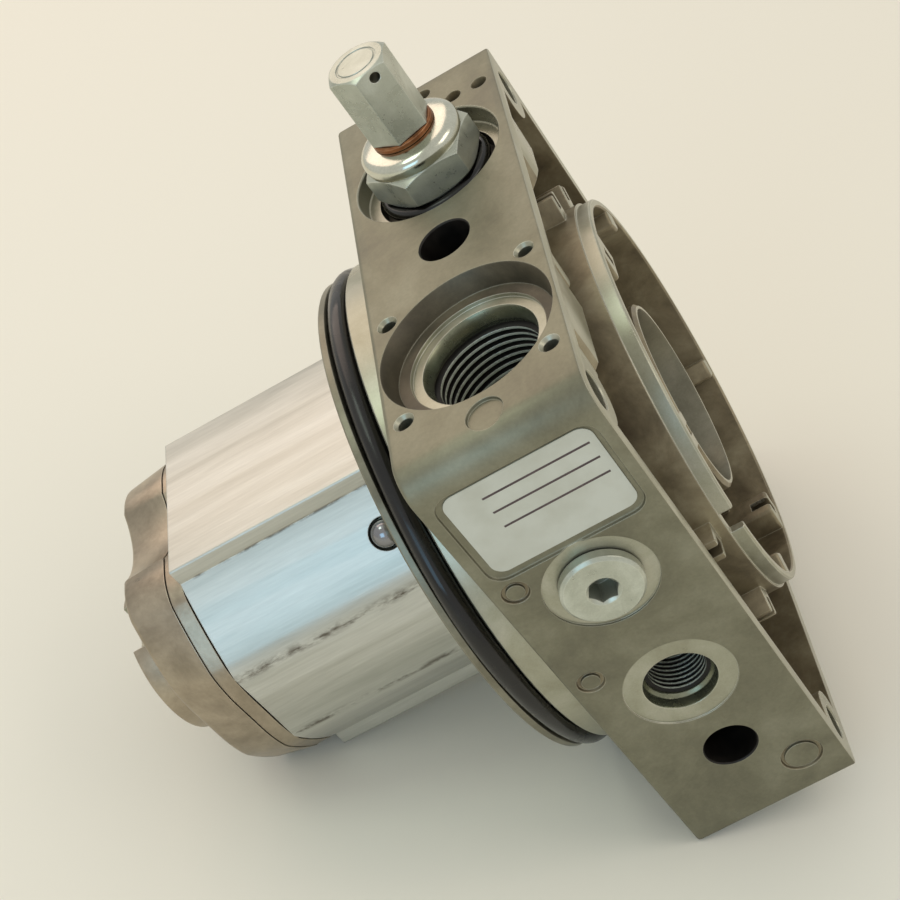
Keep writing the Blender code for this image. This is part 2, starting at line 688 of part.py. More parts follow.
def build_pump_body(mat):
    """Extruded body with the gear chamber, seal grooves, bolt holes and inlet and outlet windows."""
    body = prism("pump_body", body_outline(), BODY_END_X, BODY_START_X, "X")
    low, high = BODY_END_X - OVERSHOOT, BODY_START_X + OVERSHOOT
    cut(body, prism("chamber", figure_eight(TIP_R + GAP), low, high, "X"))
    gear_mid_x = GEAR_START_X - GEAR_W / 2
    for sign, face in ((1, high), (-1, low)):
        drill(body, PASSAGE_R, (GEAR_MID, sign * WINDOW_Z), *sorted((face, gear_mid_x)), "X")
        reach = sorted((0, sign * WINDOW_Z))
        window = box("window", (GEAR_START_X - GEAR_W, GEAR_MID - WINDOW_W / 2, reach[0]),
                     (GEAR_START_X, GEAR_MID + WINDOW_W / 2, reach[1]))
        cut(body, window)
    for face, direction in ((BODY_START_X, -1), (BODY_END_X, 1)):
        span = sorted((face - direction * OVERSHOOT, face + direction * FACE_SEAL_DEPTH))
        cut(body, oval_ring("groove", FACE_SEAL_R, FACE_SEAL_R - FACE_SEAL_W, *span))
    for centre in bolt_centres():
        drill(body, BOLT_R + GAP, centre, low, high, "X")
    for centre in dowel_centres():
        drill(body, DOWEL_R + GAP, centre, DOWEL_END_X - OVERSHOOT, high, "X")
    cut(body, ball_pocket())
    dress(body, mat)


def facet_normal():
    """Outward direction of the front upper facet of the pump body, in Y and Z."""
    span = Vector((BODY_HALF_L - BODY_FLAT_HALF, BODY_HALF_W - BODY_STEP - BODY_NOSE_HALF))
    return Vector((-span.y, span.x)).normalized()


def ball_pocket():
    """Round pocket for the plug ball, square to the facet."""
    depth = BALL_POCKET_DEPTH
    pocket = cylinder("ball_pocket", BALL_R + GAP, (0, 0), -depth, depth, "Z", SMALL_STEPS)
    normal = facet_normal()
    turn = Vector((0, 0, 1)).rotation_difference(Vector((0, normal.x, normal.y)))
    for vertex in pocket.data.vertices:
        vertex.co = turn @ vertex.co + Vector(BALL_POS)
    return pocket


def build_plug_ball(mat):
    """Steel ball pressed into the body to close a drilling."""
    work = bmesh.new()
    made = bmesh.ops.create_uvsphere(work, u_segments=SMALL_STEPS, v_segments=SMALL_STEPS // 2, radius=BALL_R)
    bmesh.ops.translate(work, verts=made["verts"], vec=BALL_POS)
    dress(finish_mesh("body_plug_ball", work), mat)


def gear_outline(centre, phase):
    """Involute spur gear outline."""
    pitch_r = GEAR_CENTRES / 2
    base_r = pitch_r * math.cos(PRESSURE_ANGLE)
    half_tooth = math.pi / (2 * TEETH) - TOOTH_SLACK / (2 * pitch_r)
    half_base = half_tooth + involute(PRESSURE_ANGLE)
    flank = []
    for i in range(FLANK_STEPS + 1):
        radius = base_r + (TIP_R - base_r) * i / FLANK_STEPS
        flank.append((radius, half_base - involute(math.acos(base_r / radius))))
    side = [(ROOT_R, half_base)] + flank
    points = []
    for tooth in range(TEETH):
        middle = phase + TAU * tooth / TEETH
        points += [polar(centre, r, middle - a) for r, a in side]
        points += [polar(centre, r, middle + a) for r, a in reversed(side)]
    return points


def involute(angle):
    """Involute function."""
    return math.tan(angle) - angle


def polar(centre, radius, angle):
    """Point at a radius and an angle from a centre."""
    return (centre[0] + radius * math.cos(angle), centre[1] + radius * math.sin(angle))


def build_gears(mat):
    """Drive gear with its long shaft and tang, and the driven gear with two journals."""
    gear_end = GEAR_START_X - GEAR_W
    rear = BODY_END_X + 2 * GAP
    drive = prism("drive_gear_shaft", gear_outline((0, 0), 0), gear_end, GEAR_START_X, "X")
    add(drive, cylinder("shaft", JOURNAL_R, (0, 0), rear, 0, "X", SMALL_STEPS))
    for sign in (-1, 1):
        reach = sorted((sign * TANG_T / 2, sign * TANG_W))
        cut(drive, box("flat", (-TANG_L, reach[0], -TANG_W), (OVERSHOOT, reach[1], TANG_W)))
    dress(drive, mat)
    outline = gear_outline((GEAR_CENTRES, 0), math.pi / TEETH)
    driven = prism("driven_gear_shaft", outline, gear_end, GEAR_START_X, "X")
    front = BODY_START_X - 2 * GAP
    add(driven, cylinder("journals", JOURNAL_R, (GEAR_CENTRES, 0), rear, front, "X", SMALL_STEPS))
    dress(driven, mat)
    pivot(driven, (GEAR_START_X, GEAR_CENTRES, 0))


def build_bearing(name, low, high, mat):
    """Figure-eight bearing block with two journal holes."""
    block = prism(name, figure_eight(TIP_R), low, high, "X")
    for centre in ((0, 0), (GEAR_CENTRES, 0)):
        drill(block, JOURNAL_R + GAP, centre, low - OVERSHOOT, high + OVERSHOOT, "X")
    dress(block, mat)


def build_face_seal(name, face, direction, mat):
    """Oval seal that lies in a groove of the pump body."""
    depth = FACE_SEAL_DEPTH - GAP
    span = sorted((face, face + direction * depth))
    dress(oval_ring(name, FACE_SEAL_R - GAP, FACE_SEAL_R - FACE_SEAL_W + GAP, *span), mat)


def inset_corners(inset):
    """Corners of the body's outline without its rails, moved inwards, round from the lower left."""
    top = BODY_HALF_W - BODY_STEP
    facet = Vector((top - BODY_NOSE_HALF, BODY_HALF_L - BODY_FLAT_HALF)).normalized()
    reach = facet.dot(Vector((BODY_FLAT_HALF, top))) - inset
    high, wide = top - inset, BODY_HALF_L - inset
    flat = (reach - facet.y * high) / facet.x
    nose = (reach - facet.x * wide) / facet.y
    quarter = [(-wide, -nose), (-flat, -high)]
    lower = quarter + [(-y, z) for y, z in reversed(quarter)]
    return [(GEAR_MID + y, z) for y, z in lower + [(-y, -z) for y, z in lower]]


def round_corners(points, radius, steps):
    """Replace each corner of a convex outline with an arc."""
    outline = []
    for k, corner in enumerate(points):
        spot = Vector(corner)
        back = (Vector(points[k - 1]) - spot).normalized()
        ahead = (Vector(points[(k + 1) % len(points)]) - spot).normalized()
        half = back.angle(ahead) / 2
        mid = spot + (back + ahead).normalized() * (radius / math.sin(half))
        sweep = math.pi / 2 - half
        start = math.atan2(spot.y - mid.y, spot.x - mid.x) - sweep
        outline += arc(mid, radius, start, start + 2 * sweep, steps)
    return outline


def waisted_slab(name, low, high, inset):
    """Slab with the body's facets, rounded corners and a shallow waist above and below."""
    outline = round_corners(inset_corners(inset), COVER_CORNER_R, BODY_FACET_STEPS)
    slab = prism(name, outline, low, high, "X")
    for sign in (-1, 1):
        centre = (GEAR_MID, sign * (WAIST_Z + WAIST_R))
        drill(slab, WAIST_R, centre, low - OVERSHOOT, high + OVERSHOOT, "X", FINE_STEPS)
    return slab


def build_end_plate(mat):
    """Plate between the pump body and the end cover."""
    plate = waisted_slab("pump_end_plate", PLATE_END_X, PLATE_START_X, GAP)
    low, high = PLATE_END_X - OVERSHOOT, PLATE_START_X + OVERSHOOT
    for centre in bolt_centres():
        drill(plate, BOLT_R + GAP, centre, low, high, "X")
    drill(plate, PASSAGE_R, (GEAR_MID, -WINDOW_Z), low, high, "X")
    dress(plate, mat)


def build_end_cover(mat):
    """Cast end cover with the round suction boss."""
    cover = waisted_slab("pump_end_cover", COVER_END_X, COVER_START_X, COVER_INSET)
    boss = lathe("boss", [(COVER_START_X - BITE, 0), (COVER_START_X - BITE, COVER_BOSS_R),
                          (COVER_BOSS_END_X + COVER_EDGE, COVER_BOSS_R),
                          (COVER_BOSS_END_X, COVER_BOSS_R - COVER_EDGE), (COVER_BOSS_END_X, 0)],
                 (0, 0), "X", ROUND_STEPS)
    add(cover, boss)
    low, high = COVER_BOSS_END_X - OVERSHOOT, COVER_START_X + OVERSHOOT
    for centre in bolt_centres():
        drill(cover, BOLT_R + GAP, centre, low, high, "X")
        drill(cover, BOLT_HEAD_R + GAP, centre, low, BOLT_SEAT_X, "X")
    drill(cover, SUCTION_R, (0, 0), low, COVER_BOSS_END_X + SUCTION_DEPTH, "X", ROUND_STEPS)
    direction = math.atan2(-WINDOW_Z, GEAR_MID)
    reach = (0, math.hypot(GEAR_MID, WINDOW_Z) + PASSAGE_R)
    cut(cover, radial_box("suction_slot", direction, reach, 2 * PASSAGE_R, (SUCTION_SLOT_X, high)))
    dress(cover, mat)


def build_pump_bolts(mat):
    """Four socket screws that clamp cover, plate and body to the block."""
    seat = BOLT_SEAT_X - GAP
    top = seat - BOLT_HEAD_L
    profile = [(BOLT_TIP_X, 0), (BOLT_TIP_X, BOLT_R), (seat, BOLT_R), (seat, BOLT_HEAD_R),
               (top, BOLT_HEAD_R), (top, 0)]
    for number, centre in enumerate(bolt_centres(), 1):
        bolt = lathe(f"pump_bolt_{number}", profile, centre, "X", SMALL_STEPS)
        key = hexagon(centre, BOLT_SOCKET_AF)
        dress(cut(bolt, prism("socket", key, top - OVERSHOOT, top + BOLT_SOCKET_DEPTH, "X")), mat)


def build_dowels(mat):
    """Two pins that locate the pump body on the block."""
    for name, centre in zip(("dowel_pin_front", "dowel_pin_back"), dowel_centres()):
        dress(cylinder(name, DOWEL_R, centre, DOWEL_END_X, DOWEL_START_X, "X", SMALL_STEPS), mat)


def build_shaft_seal(mat):
    """Lip seal on the drive shaft, on the motor side of the block."""
    end = SEAL_START_X + SEAL_W
    back = end - SEAL_FLANGE_W
    profile = [(SEAL_START_X, SEAL_R), (end, SEAL_R), (end, SEAL_LIP_R + GAP), (back, SEAL_LIP_R),
               (back, SEAL_BODY_R), (SEAL_START_X, SEAL_BODY_R + GAP)]
    dress(lathe("shaft_seal", profile, (0, 0), "X", ROUND_STEPS), mat)


def chamfered_hex(name, across_flats, low, high, chamfer, chamfer_low):
    """Hexagon bar on the relief valve axis with turned corner chamfers."""
    bar = prism(name, hexagon(RELIEF, across_flats), TOP + low, TOP + high, "Z")
    flat_r = across_flats / 2
    wide = flat_r * 2
    tall = TOP + high
    shave = lathe("shave", [(tall - chamfer, wide), (tall - chamfer, flat_r + chamfer * math.sqrt(3)),
                            (tall, flat_r), (tall + OVERSHOOT, flat_r), (tall + OVERSHOOT, wide)],
                  RELIEF, "Z", ROUND_STEPS)
    cut(bar, shave)
    if chamfer_low:
        deep = TOP + low
        shave = lathe("shave", [(deep + chamfer, wide), (deep + chamfer, flat_r + chamfer * math.sqrt(3)),
                                (deep, flat_r), (deep - OVERSHOOT, flat_r), (deep - OVERSHOOT, wide)],
                      RELIEF, "Z", ROUND_STEPS)
        cut(bar, shave)
    return bar


def build_relief_body(mat):
    """Screw-in valve body: hexagon, rounded collar, shank, nose and stepped bore."""
    body = chamfered_hex("relief_valve_body", R_HEX_AF, R_HEX_LOW, R_HEX_HIGH, R_HEX_CHAMFER, True)
    shoulder = 2 * R_RING_R + 2 * GAP - R_RECESS_DEPTH
    collar = [(TOP + R_HEX_HIGH - BITE, 0), (TOP + R_HEX_HIGH - BITE, R_COLLAR_R)]
    round_mid = (TOP + R_COLLAR_TOP - R_COLLAR_ROUND, R_COLLAR_R - R_COLLAR_ROUND)
    collar += arc(round_mid, R_COLLAR_ROUND, math.pi / 2, 0, 4)
    collar += [(TOP + R_COLLAR_TOP, 0)]
    add(body, lathe("collar", collar, RELIEF, "Z", ROUND_STEPS))
    shank = [(TOP + R_HEX_LOW + BITE, 0), (TOP + R_HEX_LOW + BITE, R_NECK_R), (TOP + shoulder, R_NECK_R),
             (TOP + shoulder, R_SHANK_R), (TOP + R_SHANK_END, R_SHANK_R), (TOP + R_SHANK_END, R_NOSE_R),
             (TOP + R_NOSE_END, R_NOSE_R), (TOP + R_NOSE_END, 0)]
    add(body, lathe("shank", shank, RELIEF, "Z", ROUND_STEPS))
    bore = [(TOP + R_NOSE_END - OVERSHOOT, 0), (TOP + R_NOSE_END - OVERSHOOT, R_ORIFICE_R),
            (TOP + R_BORE_LOW, R_ORIFICE_R), (TOP + R_BORE_LOW, R_SPRING_BORE_R),
            (TOP + R_BORE_HIGH, R_SPRING_BORE_R), (TOP + R_BORE_HIGH, SCREW_R + GAP),
            (TOP + R_COLLAR_TOP + OVERSHOOT, SCREW_R + GAP), (TOP + R_COLLAR_TOP + OVERSHOOT, 0)]
    cut(body, lathe("bore", bore, RELIEF, "Z", ROUND_STEPS))
    reach = R_SHANK_R + OVERSHOOT
    drill(body, R_DRAIN_R, (RELIEF_Y, TOP + R_DRAIN_Z), PORT_X - reach, PORT_X + reach, "X")
    dress(body, mat)


def build_relief_inside(steel, spring_steel):
    """Adjusting screw, spring seat, spring and poppet."""
    end = TOP + SCREW_HIGH
    screw = cylinder("relief_adjusting_screw", SCREW_R, RELIEF, TOP + SCREW_LOW, end, "Z", SMALL_STEPS)
    slot = box("slot", (PORT_X - 2 * SCREW_R, RELIEF_Y - SCREW_SLOT_W / 2, end - SCREW_SLOT_DEPTH),
               (PORT_X + 2 * SCREW_R, RELIEF_Y + SCREW_SLOT_W / 2, end + OVERSHOOT))
    dress(cut(screw, slot), steel)
    pivot(screw, (*RELIEF, TOP))
    seat_low = SEAT_HIGH - SEAT_T
    seat = [(TOP + SEAT_HIGH, 0), (TOP + SEAT_HIGH, SEAT_R), (TOP + seat_low, SEAT_R),
            (TOP + seat_low, SEAT_PIN_R), (TOP + seat_low - SEAT_PIN_L, SEAT_PIN_R),
            (TOP + seat_low - SEAT_PIN_L, 0)]
    seat_piece = dress(lathe("relief_spring_seat", seat, RELIEF, "Z", SMALL_STEPS), steel)
    pivot(seat_piece, (*RELIEF, TOP))
    poppet = [(TOP + POPPET_TIP, 0), (TOP + POPPET_TIP, POPPET_TIP_R), (TOP + POPPET_CONE_TOP, POPPET_STEM_R),
              (TOP + POPPET_HEAD_LOW, POPPET_STEM_R), (TOP + POPPET_HEAD_LOW, POPPET_R),
              (TOP + POPPET_HEAD_HIGH, POPPET_R), (TOP + POPPET_HEAD_HIGH, POPPET_PIN_R),
              (TOP + POPPET_PIN_HIGH, POPPET_PIN_R), (TOP + POPPET_PIN_HIGH, 0)]
    poppet_piece = dress(lathe("relief_poppet", poppet, RELIEF, "Z", SMALL_STEPS), steel)
    pivot(poppet_piece, (*RELIEF, TOP))
    low = TOP + POPPET_HEAD_HIGH + SPRING_WIRE_R + GAP
    high = TOP + seat_low - SPRING_WIRE_R - GAP
    dress(coil("relief_spring", low, high), spring_steel)


def coil(name, low, high):
    """Wire coil on the relief valve axis, swept by a screw-like spin."""
    work = bmesh.new()
    ring = [work.verts.new((RELIEF[0] + SPRING_R + across, RELIEF[1], low + up))
            for across, up in circle((0, 0), SPRING_WIRE_R, SPRING_RING_STEPS)]
    face = work.faces.new(ring)
    steps = SPRING_TURNS * SPRING_PATH_STEPS
    rise = Vector((0, 0, (high - low) / steps))
    bmesh.ops.spin(work, geom=[face] + list(face.edges) + ring, cent=(*RELIEF, 0), axis=(0, 0, 1),
                   dvec=rise, angle=TAU * SPRING_TURNS, steps=steps, use_merge=False)
    return finish_mesh(name, work)


def build_relief_cap(zinc, copper):
    """Hexagon cap over the adjusting screw, on a copper washer."""
    base = R_COLLAR_TOP + GAP
    washer = [(TOP + base, WASHER_HOLE_R), (TOP + base, WASHER_R), (TOP + base + WASHER_T, WASHER_R),
              (TOP + base + WASHER_T, WASHER_HOLE_R)]
    dress(lathe("relief_copper_washer", washer, RELIEF, "Z", ROUND_STEPS), copper)
    cap_low = base + WASHER_T + GAP
    cap = chamfered_hex("relief_valve_cap", CAP_AF, cap_low, CAP_TOP, CAP_CHAMFER, False)
    bore_top = cap_low + CAP_BORE_DEPTH
    drill(cap, SCREW_R + GAP, RELIEF, TOP + cap_low - OVERSHOOT, TOP + bore_top, "Z")
    sunk, above = TOP + CAP_TOP - CAP_RING_DEPTH, TOP + CAP_TOP + OVERSHOOT
    inner = CAP_RING_R - CAP_RING_W
    ring = [(sunk, CAP_RING_R), (sunk, inner), (above, inner), (above, CAP_RING_R)]
    cut(cap, lathe("turned_ring", ring, RELIEF, "Z", ROUND_STEPS))
    corner = CAP_AF / math.sqrt(3) - WIRE_HOLE_INSET
    reach = CAP_AF / 2
    spot = (PORT_X + corner, TOP + WIRE_HOLE_Z)
    drill(cap, WIRE_HOLE_R, spot, RELIEF_Y - reach, RELIEF_Y + reach, "Y")
    dress(cap, zinc)


def build_gauge_plug(mat, rubber):
    """Hexagon-socket plug of port M with its sealing ring."""
    seat = FRONT + SPOT_DEPTH - GAP
    top = seat - PLUG_HEAD_T
    centre = (PORT_X, PORT_M_Z)
    profile = [(seat + PLUG_SHANK_L, 0), (seat + PLUG_SHANK_L, PLUG_SHANK_R), (seat, PLUG_SHANK_R),
               (seat, PLUG_HEAD_R), (top + PLUG_CHAMFER, PLUG_HEAD_R), (top, PLUG_HEAD_R - PLUG_CHAMFER),
               (top, 0)]
    plug = lathe("port_m_plug", profile, centre, "Y", ROUND_STEPS)
    socket = prism("socket", hexagon(centre, PLUG_AF), top - OVERSHOOT, top + PLUG_SOCKET_DEPTH, "Y")
    dress(cut(plug, socket), mat)
    middle = FRONT + SPOT_DEPTH + PLUG_RING_R
    torus("port_m_seal_ring", PLUG_RING_MEAN_R, PLUG_RING_R, centre, middle, "Y", ROUND_STEPS, rubber)


def main():
    """Build every piece of the pump."""
    clear_scene()
    cast = material("die_cast_aluminium", (0.42, 0.39, 0.32), 0.5, 0.75)
    extruded = material("extruded_aluminium", (0.62, 0.58, 0.52), 0.35, 0.9)
    cover_cast = material("sand_cast_aluminium", (0.36, 0.33, 0.28), 0.55, 0.75)
    bearing = material("bearing_aluminium", (0.7, 0.7, 0.68), 0.4, 0.9)
    steel = material("ground_steel", (0.55, 0.55, 0.56), 0.25, 1)
    spring_steel = material("spring_steel", (0.35, 0.35, 0.37), 0.35, 1)
    zinc = material("zinc_plated_steel", (0.66, 0.67, 0.64), 0.28, 1)
    plug_zinc = material("plug_zinc", (0.74, 0.74, 0.66), 0.38, 0.9)
    copper = material("copper", (0.72, 0.33, 0.13), 0.35, 1)
    rubber = material("black_rubber", (0.02, 0.02, 0.02), 0.45, 0)
    build_manifold(cast)
    ring_x = FLANGE_END_X + LIP_W + GROOVE_W / 2
    torus("tank_o_ring", TANK_RING_MEAN_R, TANK_RING_R, (0, 0), ring_x, "X", FINE_STEPS, rubber)
    build_pump_body(extruded)
    build_plug_ball(steel)
    build_gears(steel)
    gear_end = GEAR_START_X - GEAR_W
    build_bearing("front_bearing_block", GEAR_START_X + GAP, BODY_START_X - GAP, bearing)
    build_bearing("rear_bearing_block", BODY_END_X + GAP, gear_end - GAP, bearing)
    build_face_seal("front_face_seal", BODY_START_X, -1, rubber)
    build_face_seal("rear_face_seal", BODY_END_X, 1, rubber)
    build_end_plate(cover_cast)
    build_end_cover(cover_cast)
    build_pump_bolts(steel)
    build_dowels(steel)
    build_shaft_seal(rubber)
    build_relief_body(zinc)
    ring_z = TOP - R_RECESS_DEPTH + GAP + R_RING_R
    torus("relief_o_ring", R_RING_MEAN_R, R_RING_R, RELIEF, ring_z, "Z", ROUND_STEPS, rubber)
    build_relief_inside(steel, spring_steel)
    build_relief_cap(zinc, copper)
    build_gauge_plug(plug_zinc, rubber)


main()
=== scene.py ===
"""Dressed model of a hydraulic gear pump on its cast manifold.

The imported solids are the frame: +X runs along the pump shaft towards the motor, +Z is up
through the relief valve and -Y is the front face. The model is in metres; the sizes that
the classes hold are in millimetres unless they say otherwise.
"""

import logging
import math
from contextlib import contextmanager
from dataclasses import dataclass
from enum import Enum
from typing import Callable, Iterator, Sequence

import bmesh
import bpy
from bpy.types import Material, Node, NodeSocket, NodeTree, Object
from mathutils import Matrix, Vector


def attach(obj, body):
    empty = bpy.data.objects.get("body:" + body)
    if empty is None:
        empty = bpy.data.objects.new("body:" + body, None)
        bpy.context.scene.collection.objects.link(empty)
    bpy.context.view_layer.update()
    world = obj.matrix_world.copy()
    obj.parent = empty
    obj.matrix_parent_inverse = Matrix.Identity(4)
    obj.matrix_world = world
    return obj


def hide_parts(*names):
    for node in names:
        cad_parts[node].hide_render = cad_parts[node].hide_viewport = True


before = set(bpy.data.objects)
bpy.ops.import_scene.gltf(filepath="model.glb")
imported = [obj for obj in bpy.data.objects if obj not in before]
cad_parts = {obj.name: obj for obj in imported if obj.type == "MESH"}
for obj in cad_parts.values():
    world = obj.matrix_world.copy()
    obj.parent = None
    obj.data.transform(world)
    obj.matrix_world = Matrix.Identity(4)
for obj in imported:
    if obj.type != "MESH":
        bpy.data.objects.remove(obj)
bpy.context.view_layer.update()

LOG = logging.getLogger("gear_pump")
# One millimetre in metres
MM = 0.001
TAU = 2 * math.pi
HOUSING = "housing"
# Points round a large, a middling and a small circle
FINE = 128
ROUND = 64
SMALL = 32
SMOOTH_ANGLE = math.radians(32)
SHARP_ANGLE = math.radians(40)
# Points of a boolean closer than this, in metres, become one
WELD = 0.0005 * MM
# Slack for comparing and overshooting, in millimetres
TINY = 0.01

Profile = Sequence[tuple[float, float]]
Point = tuple[float, float]
Spot = tuple[float, float, float]
Colour = tuple[float, float, float, float]


class Axis(Enum):
    """Direction that a turned or extruded piece follows."""

    X = "X"
    Y = "Y"
    Z = "Z"


class Step(Enum):
    """Boolean operations."""

    CUT = "DIFFERENCE"
    ADD = "UNION"
    KEEP = "INTERSECT"


def linear(hex_code: str) -> Colour:
    """Turn an sRGB hex colour into linear light.

    Args:
        hex_code: Six hex digits with a leading hash.

    Returns:
        Linear red, green and blue, and full opacity.
    """
    values = [int(hex_code[i:i + 2], 16) / 255 for i in (1, 3, 5)]
    red, green, blue = (v / 12.92 if v <= 0.04045 else ((v + 0.055) / 1.055) ** 2.4 for v in values)
    return red, green, blue, 1.0


def add_node(tree: NodeTree, kind: str, settings: dict | None = None,
             links: dict | None = None) -> Node:
    """Add a node with its settings and links.

    Args:
        tree: Node tree that gets the node.
        kind: Node type, such as ShaderNodeMix.
        settings: Attributes by name, and socket defaults by number or socket name.
        links: Output sockets by the input's number or name.

    Returns:
        The new node.
    """
    made = tree.nodes.new(kind)
    for key, value in (settings or {}).items():
        if isinstance(key, str) and hasattr(made, key):
            setattr(made, key, value)
        else:
            made.inputs[key].default_value = value
    for key, socket in (links or {}).items():
        tree.links.new(socket, made.inputs[key])
    return made


def ramp(tree: NodeTree, socket: NodeSocket, stops: Sequence[tuple[float, Colour]]) -> NodeSocket:
    """Map a value to colours.

    Args:
        tree: Node tree.
        socket: Value from zero to one.
        stops: Position and colour pairs.

    Returns:
        The colour output.
    """
    made = add_node(tree, "ShaderNodeValToRGB", links={0: socket})
    band = made.color_ramp
    while len(band.elements) < len(stops):
        band.elements.new(0.5)
    for element, (place, colour) in zip(band.elements, stops):
        element.position = place
        element.color = colour
    return made.outputs[0]


def noise(tree: NodeTree, place: NodeSocket, scale: float, detail: float, **more: float) -> NodeSocket:
    """Add a noise pattern; returns its value."""
    settings = {"Scale": scale, "Detail": detail, **more}
    return add_node(tree, "ShaderNodeTexNoise", settings, {"Vector": place}).outputs["Fac"]


def spread(tree: NodeTree, value: NodeSocket, source: Point, target: Point) -> NodeSocket:
    """Stretch a value from one range onto another."""
    settings = {"From Min": source[0], "From Max": source[1], "To Min": target[0], "To Max": target[1]}
    return add_node(tree, "ShaderNodeMapRange", settings, {"Value": value}).outputs[0]


def new_material(name: str) -> tuple[Material, NodeTree, Node]:
    """Make a material; returns it with its node tree and shader."""
    made = bpy.data.materials.new(name)
    made.use_nodes = True
    return made, made.node_tree, made.node_tree.nodes["Principled BSDF"]


@dataclass(frozen=True)
class MetalFinish:
    """Metal surface with stains, grain, worn edges, and darkening in its corners that is painted shade as well
    as oily grime.

    Attributes:
        name: Name of the real material and how its surface was made.
        tones: Dark, middle and light sRGB colours of the stained surface.
        worn: Colour of the rubbed edges.
        dirt_and_shade: Colour of the oily streaks, and of the darkening in corners, which is painted shade as
            well as oily grime.
        rough: Lowest and highest roughness.
        metallic: Share of metal.
        stain_mm: Width of the stains.
        grain_mm: Width of the grain.
        grain_depth_mm: Depth of the grain.
        stretch: Stretch of the pattern along X, Y and Z, below one for long streaks.
        edge_mm: Radius of the softened edges.
        shade_and_dirt_share: Strength of the darkening in corners, painted shade as well as oily grime.
        wear_share: Strength of the rubbed edges.
        streaks: Y, Z and width in millimetres of oily streaks that run along X.
    """

    name: str
    tones: tuple[str, str, str]
    worn: str
    dirt_and_shade: str = "#2A241C"
    rough: tuple[float, float] = (0.35, 0.55)
    metallic: float = 0.9
    stain_mm: float = 18.0
    grain_mm: float = 0.7
    grain_depth_mm: float = 0.02
    stretch: tuple[float, float, float] = (1.0, 1.0, 1.0)
    edge_mm: float = 0.35
    shade_and_dirt_share: float = 0.6
    wear_share: float = 0.7
    streaks: tuple[tuple[float, float, float], ...] = ()

    def build(self) -> Material:
        """Make the material."""
        made, tree, shader = new_material(self.name)
        place = add_node(tree, "ShaderNodeTexCoord").outputs["Object"]
        mapped = add_node(tree, "ShaderNodeMapping", {"Scale": self.stretch}, {0: place}).outputs[0]
        stain = noise(tree, mapped, 1000 / self.stain_mm, 6.0, Roughness=0.62, Distortion=0.4)
        grain = noise(tree, mapped, 1000 / self.grain_mm, 3.0, Roughness=0.6)
        dark, middle, light = (linear(tone) for tone in self.tones)
        colour = ramp(tree, stain, ((0.3, dark), (0.5, middle), (0.7, light)))
        fine = spread(tree, grain, (0.0, 1.0), (0.86, 1.14))
        colour = self._mix(tree, "MULTIPLY", 1.0, colour, fine)
        rounded = add_node(tree, "ShaderNodeBevel", {"samples": 6, "Radius": self.edge_mm * MM})
        flat = add_node(tree, "ShaderNodeNewGeometry").outputs["Normal"]
        turn = add_node(tree, "ShaderNodeVectorMath", {"operation": "DOT_PRODUCT"},
                        {0: rounded.outputs[0], 1: flat})
        edge = spread(tree, turn.outputs["Value"], (0.995, 0.9), (0.0, self.wear_share))
        colour = self._mix(tree, "MIX", edge, colour, linear(self.worn))
        # Ambient occlusion pulls corners and hollows towards the dark colour: painted shade, standing also for
        # oily grime.
        hollow = add_node(tree, "ShaderNodeAmbientOcclusion", {"samples": 6, "Distance": 9 * MM})
        film = spread(tree, hollow.outputs["AO"], (0.55, 0.1), (0.0, self.shade_and_dirt_share))
        colour = self._mix(tree, "MIX", film, colour, linear(self.dirt_and_shade))
        for streak in self.streaks:
            colour = self._mix(tree, "MIX", self._streak(tree, place, streak), colour, linear(self.dirt_and_shade))
        tree.links.new(colour, shader.inputs["Base Color"])
        tree.links.new(spread(tree, stain, (0.3, 0.7), self.rough), shader.inputs["Roughness"])
        shader.inputs["Metallic"].default_value = self.metallic
        bump = add_node(tree, "ShaderNodeBump", {"Strength": 0.6, "Distance": self.grain_depth_mm * MM},
                        {"Height": grain, "Normal": rounded.outputs[0]})
        tree.links.new(bump.outputs[0], shader.inputs["Normal"])
        made.diffuse_color = middle
        return made

    @staticmethod
    def _streak(tree: NodeTree, place: NodeSocket,
                streak: tuple[float, float, float]) -> NodeSocket:
        """Broken band round a line that runs along X; returns its strength."""
        y, z, width = streak
        across = add_node(tree, "ShaderNodeVectorMath", {"operation": "MULTIPLY", 1: (0, 1, 1)}, {0: place})
        gap = add_node(tree, "ShaderNodeVectorMath", {"operation": "DISTANCE", 1: (0, y * MM, z * MM)},
                       {0: across.outputs[0]})
        near = spread(tree, gap.outputs["Value"], (width * MM, 0.0), (0.0, 1.0))
        long = add_node(tree, "ShaderNodeMapping", {"Scale": (0.35, 1, 1)}, {0: place})
        blots = noise(tree, long.outputs[0], 420.0, 6.0, Roughness=0.7)
        broken = spread(tree, blots, (0.44, 0.6), (0.0, 0.9))
        return add_node(tree, "ShaderNodeMath", {"operation": "MULTIPLY"}, {0: near, 1: broken}).outputs[0]

    @staticmethod
    def _mix(tree: NodeTree, blend: str, amount: object, first: object,
             second: object) -> NodeSocket:
        """Mix two colours; each argument is a socket or a value."""
        made = tree.nodes.new("ShaderNodeMix")
        made.data_type = "RGBA"
        made.blend_type = blend
        for number, value in ((0, amount), (6, first), (7, second)):
            if isinstance(value, NodeSocket):
                tree.links.new(value, made.inputs[number])
            else:
                made.inputs[number].default_value = value
        return made.outputs[2]


